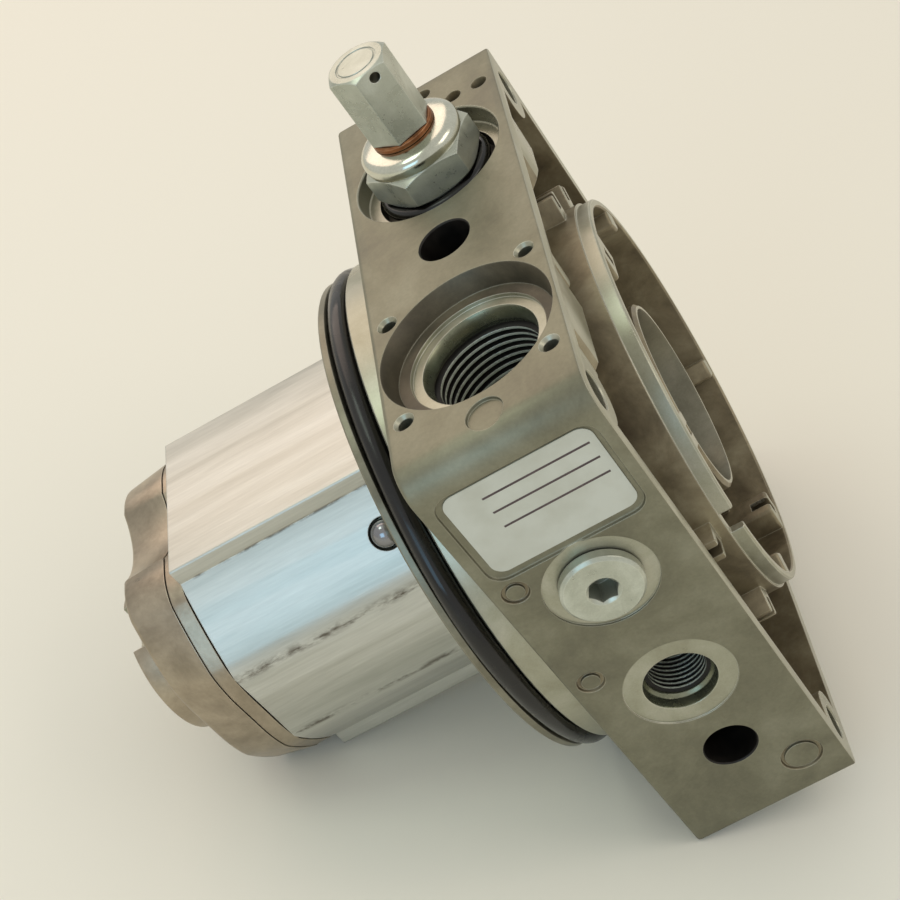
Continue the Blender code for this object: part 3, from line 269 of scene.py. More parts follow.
@dataclass(frozen=True)
class RubberFinish:
    """Moulded nitrile rubber with a film of oil.

    Attributes:
        name: Material name.
        colour: Surface colour.
        rough: Lowest and highest roughness.
        mottle_mm: Width of the oil patches.
    """

    name: str = "nitrile_rubber_moulded_oily"
    colour: str = "#0C0A09"
    rough: tuple[float, float] = (0.12, 0.34)
    mottle_mm: float = 9.0

    def build(self) -> Material:
        """Make the material."""
        made, tree, shader = new_material(self.name)
        place = add_node(tree, "ShaderNodeTexCoord").outputs["Object"]
        patch = noise(tree, place, 1000 / self.mottle_mm, 4.0)
        tree.links.new(spread(tree, patch, (0.35, 0.65), self.rough), shader.inputs["Roughness"])
        dark, light = linear(self.colour), linear("#15120F")
        tree.links.new(ramp(tree, patch, ((0.4, dark), (0.75, light))),
                       shader.inputs["Base Color"])
        made.diffuse_color = dark
        return made


@dataclass(frozen=True)
class FilmFinish:
    """Printed polyester film, smooth and slightly yellowed.

    Attributes:
        name: Material name.
        colour: Main colour.
        shade: Colour of the faint handling marks.
        rough: Roughness.
    """

    name: str
    colour: str
    shade: str
    rough: float = 0.32

    def build(self) -> Material:
        """Make the material."""
        made, tree, shader = new_material(self.name)
        place = add_node(tree, "ShaderNodeTexCoord").outputs["Object"]
        mark = noise(tree, place, 90.0, 5.0)
        tones = ((0.35, linear(self.shade)), (0.6, linear(self.colour)))
        tree.links.new(ramp(tree, mark, tones), shader.inputs["Base Color"])
        shader.inputs["Roughness"].default_value = self.rough
        made.diffuse_color = linear(self.colour)
        return made


class Finishes:
    """The materials of the pump, made once."""

    def __init__(self) -> None:
        """Build every material."""
        # Die casting: matt grey-green skin, browned by oil and heat
        self.cast = MetalFinish("aluminium_die_cast", ("#6A6758", "#7F7C69", "#918E7B"), "#BBB8A6",
                                rough=(0.38, 0.52), metallic=0.75, stain_mm=20, grain_mm=0.8,
                                wear_share=0.5).build()
        # Cast pocket: the skin that machining never touched, dark with oil
        self.pocket = MetalFinish("aluminium_die_cast_oily", ("#6A5F4D", "#8C8169", "#A99F85"), "#B9B29D",
                                  rough=(0.32, 0.5), metallic=0.6, stain_mm=14, grain_mm=1.2,
                                  grain_depth_mm=0.05, shade_and_dirt_share=0.5).build()
        # Milled and turned faces: brighter, with fine tool marks
        self.machined = MetalFinish("aluminium_milled", ("#96937F", "#A7A592", "#B9B6A6"), "#E0DDCE",
                                    rough=(0.26, 0.38), metallic=0.75, stain_mm=15, grain_mm=0.35,
                                    grain_depth_mm=0.006, shade_and_dirt_share=0.5).build()
        # Bore of a port: turned bright and filmed with oil; its corners darken to near black, painted shade as
        # well as oil
        self.bored = MetalFinish("aluminium_bored_oily", ("#72735F", "#848570", "#95967F"), "#B3B4A2",
                                 dirt_and_shade="#1C1814", rough=(0.22, 0.34), metallic=0.85, stain_mm=9, grain_mm=0.4,
                                 grain_depth_mm=0.006).build()
        # Wall of a sunk port: as-cast skin darkened near black as painted shade
        self.sunk_port_shade = MetalFinish("aluminium_cast_painted_shade", ("#3F3A2F", "#554E3F", "#6B6250"), "#A3A08D",
                                  dirt_and_shade="#1A1612", rough=(0.35, 0.5), metallic=0.5, stain_mm=16,
                                  grain_mm=0.6).build()
        # Turned collar: a polished plating that mirrors the room
        self.collar = MetalFinish("steel_zinc_polished", ("#B9BAAB", "#CACABB", "#D9D9CC"), "#E6E6DA",
                                  rough=(0.13, 0.2), metallic=1.0, stain_mm=12, grain_mm=0.5,
                                  shade_and_dirt_share=0.3).build()
        # Thread crests: cut bright and rubbed, their colour raised near white as a painted highlight
        self.crest = MetalFinish("thread_crest_painted_highlight", ("#D2D6C4", "#DCE0CF", "#E6E9DA"), "#F0F1E6",
                                 rough=(0.22, 0.34), metallic=0.35, stain_mm=5, grain_mm=0.4,
                                 shade_and_dirt_share=0.0).build()
        # Thread roots and dark holes: near black as painted shade, since little light gets out of them
        self.root = MetalFinish("thread_root_painted_shade", ("#0E0B09", "#17130F", "#221C17"), "#3A342C",
                                rough=(0.4, 0.6), metallic=0.3, stain_mm=5, grain_mm=0.4).build()
        # Extruded body: long die lines along the pump, streaked with old oil on its corners
        self.extruded = MetalFinish("aluminium_extruded", ("#AEADA3", "#C2C1B8", "#D2D1C9"), "#E9E7DF",
                                    dirt_and_shade="#4A3E30", rough=(0.28, 0.42), metallic=0.75, stain_mm=7, grain_mm=0.6,
                                    grain_depth_mm=0.012, stretch=(0.07, 1.0, 1.0), shade_and_dirt_share=0.5,
                                    streaks=((-29.3, 11.4, 2.0), (-29.2, -11.5, 1.2),
                                             (-14.2, 31.9, 0.5))).build()
        # Gravity-cast cover: coarser skin, brown oil film
        self.cover = MetalFinish("aluminium_gravity_cast", ("#827868", "#A29684", "#BBAE9A"), "#CFC4B2",
                                 rough=(0.26, 0.38), metallic=0.95, stain_mm=16, grain_mm=1.1,
                                 grain_depth_mm=0.05).build()
        # Lip of the tank flange: turned, then browned by the oil round the seal
        self.lip = MetalFinish("aluminium_turned_oily", ("#6E6A5B", "#7F7B6B", "#918D7D"), "#A9A594",
                               rough=(0.3, 0.45), metallic=0.8, stain_mm=10, grain_mm=0.5).build()
        # Zinc-plated free-cutting steel: clear passivated, soft mirror
        self.zinc = MetalFinish("steel_zinc_plated", ("#A6A899", "#B8BAAB", "#C9CBBD"), "#DCDED2",
                                rough=(0.24, 0.36), metallic=0.65, stain_mm=8, grain_mm=0.3,
                                grain_depth_mm=0.004, shade_and_dirt_share=0.5).build()
        # Ground steel of shafts and gears
        self.steel = MetalFinish("steel_ground", ("#86868A", "#9A9A9D", "#AEAEB0"), "#D6D6D8",
                                 rough=(0.12, 0.24), metallic=1.0, stain_mm=12, grain_mm=0.25,
                                 grain_depth_mm=0.003).build()
        # Black-oxide screws
        self.black_steel = MetalFinish("steel_black_oxide", ("#2C2B2A", "#3A3937", "#4A4845"), "#8E8C88",
                                       rough=(0.3, 0.45), metallic=0.9, stain_mm=8, grain_mm=0.4).build()
        # Copper sealing ring, tarnished brown under its oil
        self.copper = MetalFinish("copper_stamped", ("#5E3A22", "#8A5836", "#A77650"), "#C39A78",
                                  dirt_and_shade="#33200F", rough=(0.25, 0.42), metallic=0.9, stain_mm=4,
                                  grain_mm=0.3, shade_and_dirt_share=0.5).build()
        self.rubber = RubberFinish().build()
        self.sticker = FilmFinish("polyester_film_white", "#C9C9BD", "#BDBCAE").build()
        self.ink = FilmFinish("printed_ink_dark", "#4A3A3C", "#5A4A4A", rough=0.45).build()


def activate(obj: Object) -> None:
    """Leave edit mode and select one object alone."""
    if bpy.context.mode != "OBJECT":
        bpy.ops.object.mode_set(mode="OBJECT")
    bpy.ops.object.select_all(action="DESELECT")
    obj.select_set(True)
    bpy.context.view_layer.objects.active = obj


def rest() -> None:
    """Leave edit mode and select nothing."""
    if bpy.context.mode != "OBJECT":
        bpy.ops.object.mode_set(mode="OBJECT")
    bpy.ops.object.select_all(action="DESELECT")


@contextmanager
def editing(obj: Object, action: str = "SELECT") -> Iterator[None]:
    """Open edit mode on one object, with everything or nothing of it selected."""
    activate(obj)
    bpy.ops.object.mode_set(mode="EDIT")
    bpy.ops.mesh.select_all(action=action)
    yield
    bpy.ops.object.mode_set(mode="OBJECT")


def four(y: float, z: float, middle: float = 0.0) -> list[Point]:
    """Mirror a cross position to the four corners round a middle."""
    return [(middle + sy * y, sz * z) for sy in (-1, 1) for sz in (-1, 1)]


def along_x(first: Vector, second: Vector) -> bool:
    """Tell whether an edge runs along X."""
    return abs(first.y - second.y) + abs(first.z - second.z) < TINY


def point(axis: Axis, station: float, centre: Point) -> Vector:
    """Turn a station on an axis and two cross values in millimetres into metres."""
    first, second = centre
    if axis is Axis.X:
        return Vector((station, first, second)) * MM
    if axis is Axis.Y:
        return Vector((first, station, second)) * MM
    return Vector((first, second, station)) * MM


def settle(name: str, axis: Axis, centre: Point, finish: Material) -> Object:
    """Turn the active object's local Z onto an axis and leave it unrotated at the origin.

    Args:
        name: Object name.
        axis: Axis that local Z goes to.
        centre: Cross position in millimetres.
        finish: Material of every face.

    Returns:
        The placed object.
    """
    obj = bpy.context.object
    obj.name = name
    obj.rotation_euler = {Axis.X: (0, math.pi / 2, 0), Axis.Y: (-math.pi / 2, 0, 0), Axis.Z: (0, 0, 0)}[axis]
    obj.location = point(axis, 0, centre)
    bpy.ops.object.transform_apply(location=True, rotation=True, scale=True)
    obj.data.materials.clear()
    obj.data.materials.append(finish)
    return obj


def turned(name: str, profile: Profile, centre: Point, axis: Axis, finish: Material,
           steps: int = ROUND) -> Object:
    """Grow a round solid from a disc, one extrusion for each point of its profile.

    Args:
        name: Object name.
        profile: Station along the axis and radius, in millimetres.
        centre: Cross position of the axis in millimetres.
        axis: Axis of the solid.
        finish: Material.
        steps: Points round the circle.

    Returns:
        The solid, with flat ends.
    """
    rest()
    bpy.ops.mesh.primitive_circle_add(vertices=steps, radius=profile[0][1] * MM, fill_type="NGON")
    with editing(bpy.context.object):
        bpy.ops.transform.translate(value=(0, 0, profile[0][0] * MM))
        for (low, near), (high, far) in zip(profile, profile[1:]):
            bpy.ops.mesh.extrude_region_move(TRANSFORM_OT_translate={"value": (0, 0, (high - low) * MM)})
            bpy.ops.transform.resize(value=(far / near, far / near, 1), center_override=(0, 0, high * MM))
        bpy.ops.mesh.select_all(action="SELECT")
        bpy.ops.mesh.normals_make_consistent(inside=False)
    return settle(name, axis, centre, finish)


def hexagonal(name: str, across: float, span: Point, centre: Point, axis: Axis,
              finish: Material, corner: float = 0.0) -> Object:
    """Add a hexagon bar over a span of stations, with one corner at an angle in degrees."""
    rest()
    low, high = span
    bpy.ops.mesh.primitive_cylinder_add(vertices=6, radius=across / math.sqrt(3) * MM,
                                        depth=(high - low) * MM)
    with editing(bpy.context.object):
        bpy.ops.transform.translate(value=(0, 0, (low + high) / 2 * MM))
        bpy.ops.transform.rotate(value=math.radians(30 - corner), orient_axis="Z", center_override=(0, 0, 0))
    return settle(name, axis, centre, finish)


def block(name: str, low: Sequence[float], high: Sequence[float],
          finish: Material) -> Object:
    """Add a box between two corners in millimetres."""
    rest()
    middle = [(a + b) / 2 * MM for a, b in zip(low, high)]
    bpy.ops.mesh.primitive_cube_add(size=1, location=middle, scale=[(b - a) * MM for a, b in zip(low, high)])
    return settle_here(name, finish)


def settle_here(name: str, finish: Material) -> Object:
    """Apply the active object's transform and give it its name and material."""
    obj = bpy.context.object
    obj.name = name
    bpy.ops.object.transform_apply(location=True, rotation=True, scale=True)
    obj.data.materials.clear()
    obj.data.materials.append(finish)
    return obj


def web(name: str, angle: float, reach: Point, width: float, span: Point,
        finish: Material) -> Object:
    """Add a straight web that runs outwards from the pump axis.

    Args:
        name: Object name.
        angle: Direction from +Y towards +Z.
        reach: Inner and outer radius.
        width: Thickness.
        span: Lowest and highest X.
        finish: Material.

    Returns:
        The web.
    """
    obj = block(name, (span[0], reach[0], -width / 2), (span[1], reach[1], width / 2), finish)
    obj.rotation_euler = (angle, 0, 0)
    bpy.ops.object.transform_apply(location=False, rotation=True, scale=False)
    return obj


def ring(name: str, mean: float, thick: float, station: float, centre: Point, axis: Axis,
         finish: Material, steps: int = FINE) -> Object:
    """Add a round ring of a mean radius and a cord radius."""
    rest()
    bpy.ops.mesh.primitive_torus_add(major_radius=mean * MM, minor_radius=thick * MM,
                                     major_segments=steps, minor_segments=24)
    with editing(bpy.context.object):
        bpy.ops.transform.translate(value=(0, 0, station * MM))
    return settle(name, axis, centre, finish)


def merged(tools: Sequence[Object]) -> Object:
    """Join cutters that don't touch each other into one."""
    activate(tools[0])
    for tool in tools:
        tool.select_set(True)
    bpy.ops.object.join()
    return bpy.context.object


def shape(target: Object, step: Step, tools: Sequence[Object]) -> Object:
    """Apply a boolean with each tool in turn; cut faces take the tool's material."""
    for tool in tools:
        activate(target)
        change = target.modifiers.new(step.name, "BOOLEAN")
        change.operation = step.value
        change.solver = "EXACT"
        change.material_mode = "TRANSFER"
        change.object = tool
        bpy.ops.object.modifier_apply(modifier=change.name)
        bpy.data.objects.remove(tool, do_unlink=True)
    with editing(target):
        bpy.ops.mesh.remove_doubles(threshold=WELD)
        bpy.ops.mesh.dissolve_degenerate(threshold=WELD)
    return target


def cut(target: Object, *tools: Object) -> Object:
    """Cut tools out of a target."""
    return shape(target, Step.CUT, tools)


def fuse(target: Object, *tools: Object) -> Object:
    """Fuse tools onto a target."""
    return shape(target, Step.ADD, tools)


def bevel_where(obj: Object, test: Callable[[Vector, Vector], bool], radius: float,
                segments: int) -> None:
    """Round the edges whose two end points, in millimetres, pass a test."""
    with editing(obj, "DESELECT"):
        bpy.ops.mesh.select_mode(type="EDGE")
        work = bmesh.from_edit_mesh(obj.data)
        for edge in work.edges:
            first, second = (vert.co / MM for vert in edge.verts)
            edge.select_set(test(first, second))
        bmesh.update_edit_mesh(obj.data)
        bpy.ops.mesh.bevel(offset=radius * MM, segments=segments, affect="EDGES")


def soften(obj: Object, width: float, segments: int) -> Object:
    """Round every sharp edge of a simple piece by a width in millimetres."""
    activate(obj)
    change = obj.modifiers.new("soften", "BEVEL")
    change.width = width * MM
    change.segments = segments
    change.limit_method = "ANGLE"
    change.angle_limit = SHARP_ANGLE
    change.use_clamp_overlap = True
    bpy.ops.object.modifier_apply(modifier=change.name)
    return obj


def paint(obj: Object, finish: Material,
          test: Callable[[Vector, Vector], bool]) -> None:
    """Give the faces whose middle, in millimetres, and normal pass a test another finish."""
    if finish.name not in obj.data.materials:
        obj.data.materials.append(finish)
    index = obj.data.materials.find(finish.name)
    for face in obj.data.polygons:
        if test(face.center / MM, face.normal):
            face.material_index = index


def hand_over(obj: Object, slot: str, *nodes: str) -> Object:
    """Shade a finished piece, hang it on the housing and hide the nodes of the frame that it replaces.

    Args:
        obj: Finished piece.
        slot: Not used.
        nodes: Nodes of the frame that it replaces.

    Returns:
        The piece.
    """
    activate(obj)
    bpy.ops.object.shade_smooth_by_angle(angle=SMOOTH_ANGLE)
    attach(obj, HOUSING)
    if nodes:
        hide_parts(*nodes)
    LOG.info("%s: %d faces", obj.name, len(obj.data.polygons))
    rest()
    return obj


@dataclass
class ManifoldBlock:
    """Die-cast block with its ports, motor spigot and tank flange.

    Sizes are in millimetres. The profiles of sunk holes are depths below their face and radii,
    the first pair being the mouth. Angles are in degrees from +Y towards +Z.
    """

    finishes: Finishes
    side: float = 135.0
    depth: float = 42.0
    bend: float = 7.0
    edge: float = 1.2
    wall: float = 4.0
    pocket: float = 22.0
    pocket_corner: float = 5.0
    pocket_fillet: float = 2.0
    drum: float = 50.6
    drum_top: float = 3.5
    spigot: float = 50.0
    spigot_top: float = 7.0
    bowl: float = 48.1
    hub: float = 24.2
    hub_bore: float = 19.0
    rib_count: int = 8
    rib_phase: float = 4.0
    rib_width: float = 3.0
    web_width: float = 3.2
    tab_angles: tuple[float, ...] = (49, 70, 176, 210, 305)
    tab_reach: float = 6.2
    tab_width: float = 6.0
    tab_gap: float = 2.6
    lugs: tuple[Spot, ...] = ((36, 44.2, 6.0), (88, 39.5, 9.0), (150, 41.5, 9.0), (222, 43.0, 5.0),
                              (268, 41.0, 8.0), (325, 43.5, 5.0))
    lug_slots: tuple[Point, ...] = ((88, 44.0), (150, 44.5), (268, 44.0))
    notch_angle: float = 176.0
    notch_width: float = 6.0
    corner: float = 59.6
    corner_boss: float = 8.0
    corner_hole: float = 4.25
    port_x: float = -21.0
    port_c_y: float = -33.0
    relief_y: float = 33.7
    drain_y: float = 1.8
    port_m_z: float = 21.5
    port_v_z: float = -15.7
    side_hole_z: float = -41.4
    column: float = 16.0
    column_length: float = 32.0
    front_boss: float = 12.0
    small_boss: float = 9.5
    screw_boss: float = 4.4
    port_c_collar: Point = (23.6, 15.0)
    relief_collar: Point = (22.0, 13.0)
    screw_square: float = 16.55
    port_c_recess: Profile = ((0, 20.1), (0.35, 19.8), (5.0, 18.6), (5.1, 18.4))
    port_c_seat: Profile = ((0, 15.9), (6.1, 15.9))
    port_c_bore: Profile = ((0, 13.6), (6.2, 13.6), (6.5, 13.35), (9.3, 12.75), (9.6, 13.3), (27.0, 13.3),
                            (31.0, 2.6))
    relief_recess: Profile = ((0, 18.7), (0.3, 18.4), (4.3, 18.1), (4.5, 17.8))
    relief_floor: Profile = ((0, 15.4), (8.0, 15.0))
    relief_bore: Profile = ((0, 10.6), (6.4, 10.6), (6.9, 10.3), (22.3, 10.3), (22.3, 8.6), (32.3, 8.6),
                            (32.3, 2.6))
    drain: Profile = ((0, 6.4), (0.3, 6.1), (30.0, 6.1))
    dimple: Profile = ((0, 4.2), (0.7, 4.0))
    dimple_spot: Point = (-20.7, -59.4)
    screw_hole: Profile = ((0, 2.4), (0.8, 1.7), (10.0, 1.7))
    pin_hole: Profile = ((0, 2.1), (0.3, 2.0), (5.0, 1.8))
    pin_spots: tuple[Point, ...] = ((-4.3, 54.2), (-11.2, 54.5), (-18.5, 62.2))
    port_m: Profile = ((0, 12.5), (0.5, 12.5), (0.5, 8.7), (1.8, 8.7), (1.8, 6.9), (15.0, 6.9), (15.0, 3.2))
    port_v_face: Profile = ((0, 12.95), (0.4, 12.95))
    port_v: Profile = ((0, 8.5), (0.4, 8.5), (0.8, 8.3), (3.1, 8.2), (3.9, 7.5), (26.0, 7.5), (30.0, 2.4))
    side_hole: Profile = ((0, 6.5), (0.3, 6.2), (26.0, 6.15))
    pads: tuple[Spot, ...] = ((-36.6, 29.8, 3.1), (-36.7, -3.0, 3.2), (-9.1, -55.4, 5.1))
    pad_depth: float = 0.7
    frame_middle: Point = (-20.9, 47.0)
    frame_half: Point = (18.2, 13.2)
    frame_depth: float = 0.9
    frame_corner: float = 4.0
    flange: float = 63.0
    flange_end: float = -56.6
    lip: float = 62.1
    groove: float = 58.0
    pump_middle: float = 11.0
    pump_bolts: Point = (18.0, 22.8)
    pump_bolt_hole: float = 4.3
    dowel_y: float = 32.5
    dowel_hole: float = 2.8

    @property
    def half(self) -> float:
        """Half of the side."""
        return self.side / 2

    def build(self) -> Object:
        """Model the block and hand it over."""
        body = self._shell()
        cut(body, self._pocket())
        self._motor_end(body)
        self._tank_end(body)
        self._top(body)
        self._front(body)
        self._drillings(body)
        self._paint(body)
        return hand_over(body, "cast_aluminium", "manifold_block")

    def _shell(self) -> Object:
        """Square block with the large bend and three small ones."""
        h = self.half
        body = block("manifold_casting", (-self.depth, -h, -h), (0, h, h), self.finishes.cast)

        def at_bend(spot: Vector) -> bool:
            return spot.y < 0 < spot.z

        bevel_where(body, lambda a, b: along_x(a, b) and at_bend(a), self.bend, 12)
        bevel_where(body, lambda a, b: (along_x(a, b) and not at_bend(a)
                                        and min(abs(a.y), abs(a.z)) > h - TINY), self.edge, 4)
        bevel_where(body, lambda a, b: a.x < 1 - self.depth and b.x < 1 - self.depth, 1.0, 3)
        bevel_where(body, lambda a, b: a.x > -TINY and b.x > -TINY, 0.5, 2)
        return body

    def _pocket(self) -> Object:
        """Hollow behind the motor face, with every boss left standing."""
        skin = self.finishes.pocket
        inner = self.half - self.wall
        hollow = block("hollow", (-self.pocket, -inner, -inner), (1, inner, inner), skin)
        bevel_where(hollow, along_x, self.pocket_corner, 6)
        bevel_where(hollow, lambda a, b: max(a.x, b.x) < TINY - self.pocket, self.pocket_fillet, 4)
        stands = [turned("boss", ((-self.pocket - 1, self.corner_boss + 0.8), (3, self.corner_boss)), spot,
                         Axis.X, skin, SMALL) for spot in four(self.corner, self.corner)]
        top, x = self.half, self.port_x
        for y, radius in ((self.port_c_y, self.column), (self.relief_y, self.column),
                          (self.drain_y, self.small_boss)):
            stands.append(turned("boss", ((top - self.column_length, radius - 0.8), (top, radius)), (x, y),
                                 Axis.Z, skin))
        for y, (radius, length) in ((self.port_c_y, self.port_c_collar), (self.relief_y, self.relief_collar)):
            stands.append(turned("boss", ((top - length, radius - 0.5), (top, radius)), (x, y), Axis.Z, skin,
                                 FINE))
        for sy in (-1, 1):
            stands.append(turned("boss", ((top - 12.5, self.screw_boss - 0.2), (top, self.screw_boss)),
                                 (x + self.screw_square, self.port_c_y + sy * self.screw_square), Axis.Z,
                                 skin, SMALL))
        for z, radius in ((self.port_m_z, self.front_boss), (self.port_v_z, self.front_boss),
                          (self.side_hole_z, self.small_boss)):
            stands.append(turned("boss", ((-top, radius), (30 - top, radius - 0.8)), (x, z), Axis.Y, skin))
        return cut(hollow, *stands)

    def _motor_end(self, body: Object) -> None:
        """Drum, spigot, bowl with its hub, ribs and lugs, and the coupling bore."""
        bright, skin = self.finishes.machined, self.finishes.pocket
        base, top, middle = -self.pocket - 1, self.spigot_top, (0, 0)
        fuse(body, turned("drum", ((base, self.drum + 0.5), (self.drum_top, self.drum)), middle, Axis.X, skin,
                          FINE))
        fuse(body, turned("spigot", ((base, self.spigot), (6.6, self.spigot), (top, self.spigot - 0.4)),
                          middle, Axis.X, bright, FINE))
        hollow = turned("bowl", ((8, self.bowl + 1.0), (top, self.bowl + 0.3), (6.6, self.bowl),
                                 (-8.5, self.bowl - 0.3), (-10, self.bowl - 1.8)), middle, Axis.X, skin, FINE)
        stands = [turned("hub", ((-12, self.hub + 0.6), (3.2, self.hub), (4.0, self.hub - 0.8)), middle,
                         Axis.X, skin, FINE)]
        for k in range(self.rib_count):
            angle = math.radians(self.rib_phase + 360 / self.rib_count * k)
            stands.append(web("rib", angle, (self.hub - 2, self.bowl + 2), self.rib_width, (-12, -3.5), skin))
        cut(hollow, *stands)
        cut(body, hollow)
        reach = (self.drum - 1, self.corner * math.sqrt(2) - self.corner_boss + 1)
        for y, z in four(1, 1):
            fuse(body, web("web", math.atan2(z, y), reach, self.web_width, (base, -12.0), skin))
        for angle in map(math.radians, self.tab_angles):
            tab = web("tab", angle, (self.drum - 2, self.drum + self.tab_reach), self.tab_width, (base, 1.2),
                      skin)
            fuse(body, soften(tab, 0.5, 2))
            cut(body, web("tab_gap", angle, (self.drum + 2.2, self.drum + 7.0), self.tab_gap, (-4.0, 2.0),
                          skin))
        for angle, inner, width in self.lugs:
            lug = web("lug", math.radians(angle), (inner, self.bowl + 1), width, (-11, 6.8), skin)
            fuse(body, soften(lug, 0.8, 3))
        for angle, at in self.lug_slots:
            cut(body, web("slot", math.radians(angle), (at - 3.0, at + 1.5), self.tab_gap, (2.0, 8.0), skin))
        cut(body, web("notch", math.radians(self.notch_angle), (self.bowl - 1, self.drum + 1),
                      self.notch_width, (3.7, 8.0), bright))
        cut(body, turned("coupling", ((8, 23.5), (4.5, 22.9), (3.2, 22.5), (-6, 21.2), (-6, self.hub_bore),
                                      (-8, self.hub_bore), (-8, 11.3), (-16, 11.3), (-16, 6.5), (-58, 6.5)),
                         middle, Axis.X, self.finishes.lip, FINE))

    def _tank_end(self, body: Object) -> None:
        """Round flange with the seal groove and its thin lip."""
        end = self.flange_end
        profile = ((2 - self.depth, self.flange), (end + 8.1, self.flange), (end + 7.7, self.flange - 0.4),
                   (end + 7.7, self.groove), (end + 2.2, self.groove), (end + 2.2, self.lip - 0.9),
                   (end + 1.7, self.lip), (end + 0.3, self.lip), (end, self.lip - 0.3))
        fuse(body, turned("flange", profile, (0, 0), Axis.X, self.finishes.machined, FINE))

    def _sunk(self, profile: Profile, centre: Point, axis: Axis, steps: int = ROUND,
              finish: Material | None = None) -> Object:
        """Cutter for a hole in the top or front face; the profile is depth and radius."""
        way = -1 if axis is Axis.Z else 1
        face = -way * self.half
        (_, near), (deep, far) = profile[:2]
        mouth = (face - way, near + (near - far) / deep)
        return turned("sunk", (mouth, *((face + way * deep, radius) for deep, radius in profile[1:])),
                      centre, axis, finish or self.finishes.machined, steps)

    def _top(self, body: Object) -> None:
        """Large threaded port, the relief cavity and the small holes of the top face."""
        f, x, y = self.finishes, self.port_x, self.port_c_y
        relief = (x, self.relief_y)
        # The recess wall of the large port takes the near-black finish: painted shade.
        cut(body, self._sunk(self.port_c_recess, (x, y), Axis.Z, FINE, f.sunk_port_shade),
            self._sunk(self.port_c_seat, (x, y), Axis.Z, FINE),
            self._sunk(self.port_c_bore, (x, y), Axis.Z, FINE, f.bored))
        # The floor of the relief cavity takes the same near-black painted shade.
        cut(body, self._sunk(self.relief_recess, relief, Axis.Z, FINE),
            self._sunk(self.relief_floor, relief, Axis.Z, FINE, f.sunk_port_shade))
        # The drain hole takes the near-black finish of thread roots: painted shade.
        holes = [self._sunk(self.relief_bore, relief, Axis.Z),
                 self._sunk(self.drain, (x, self.drain_y), Axis.Z, ROUND, f.root),
                 self._sunk(self.dimple, self.dimple_spot, Axis.Z, SMALL, f.cast)]
        holes += [self._sunk(self.screw_hole, (x + right, y + away), Axis.Z, SMALL)
                  for right, away in four(self.screw_square, self.screw_square)]
        holes += [self._sunk(self.pin_hole, spot, Axis.Z, SMALL, f.pocket) for spot in self.pin_spots]
        cut(body, merged(holes))

    def _front(self, body: Object) -> None:
        """Plugged port, open port, plain hole, label frame and round pads of the front face."""
        f, x, face = self.finishes, self.port_x, -self.half
        # The side hole takes the near-black finish of thread roots: painted shade.
        holes = [self._sunk(self.port_m, (x, self.port_m_z), Axis.Y, FINE),
                 self._sunk(self.port_v_face, (x, self.port_v_z), Axis.Y, FINE),
                 self._sunk(self.side_hole, (x, self.side_hole_z), Axis.Y, ROUND, f.root)]
        for pad_x, pad_z, radius in self.pads:
            pad = self._sunk(((0, radius), (self.pad_depth, radius - 0.3)), (pad_x, pad_z), Axis.Y, SMALL,
                             f.pocket)
            cut(pad, turned("land", ((face + 3, radius - 0.9), (face - 3, radius - 1.3)), (pad_x, pad_z),
                            Axis.Y, f.cast, SMALL))
            holes.append(pad)
        (mid_x, mid_z), (half_x, half_z) = self.frame_middle, self.frame_half
        sunk = block("label", (mid_x - half_x, face - 1, mid_z - half_z),
                     (mid_x + half_x, face + self.frame_depth, mid_z + half_z), f.cast)
        bevel_where(sunk, lambda a, b: abs(a.x - b.x) + abs(a.z - b.z) < TINY, self.frame_corner, 6)
        bevel_where(sunk, lambda a, b: min(a.y, b.y) > face + 0.8, 0.8, 2)
        cut(body, merged(holes), self._sunk(self.port_v, (x, self.port_v_z), Axis.Y, FINE, f.bored), sunk)

    def _drillings(self, body: Object) -> None:
        """Corner holes, bolt and dowel holes, and the passages to the tank side."""
        bright, x = self.finishes.machined, self.port_x
        fixing = ((1.2, self.corner_hole + 1.2), (-0.3, self.corner_hole), (-self.depth - 1, self.corner_hole))
        places = [(fixing, spot) for spot in four(self.corner, self.corner)]
        places += [(((-58, self.pump_bolt_hole), (-43.5, self.pump_bolt_hole)), spot)
                   for spot in four(*self.pump_bolts, self.pump_middle)]
        places += [(((-58, self.dowel_hole), (-47, self.dowel_hole)), (self.pump_middle + sy * self.dowel_y, 0))
                   for sy in (-1, 1)]
        cut(body, merged([turned("hole", profile, spot, Axis.X, bright, SMALL) for profile, spot in places]))
        ways = ((-58, x, 4.5, (self.pump_middle, 21.5), Axis.X), (-58, x, 3.2, (self.relief_y, 40.0), Axis.X),
                (-58, x, 3.2, (-41.0, self.port_v_z), Axis.X), (-53, 36.7, 3.0, (x, self.port_m_z), Axis.Y),
                (37.0, self.port_m_z, 2.4, (x, self.port_c_y), Axis.Z),
                (35.5, self.port_m_z, 2.4, (x, self.relief_y), Axis.Z))
        for number, (start, end, radius, centre, axis) in enumerate(ways):
            # Each way has its own count of points, so that no two crossing bores share an edge
            cut(body, turned("passage", ((start, radius), (end, radius)), centre, axis, bright,
                             25 + 2 * number))

    def _paint(self, body: Object) -> None:
        """Brighten the faces that were milled and brown the lip."""
        milled = (lambda spot, normal: normal.x > 0.9 and abs(spot.x) < 0.6,
                  lambda spot, normal: normal.x < -0.9 and spot.x < 0.5 - self.depth,
                  lambda spot, normal: normal.x > 0.9 and spot.x > 1.0)
        for test in milled:
            paint(body, self.finishes.machined, test)
        lip_end = self.flange_end + 2.3
        paint(body, self.finishes.lip,
              lambda spot, normal: spot.x < lip_end and math.hypot(spot.y, spot.z) > self.groove)


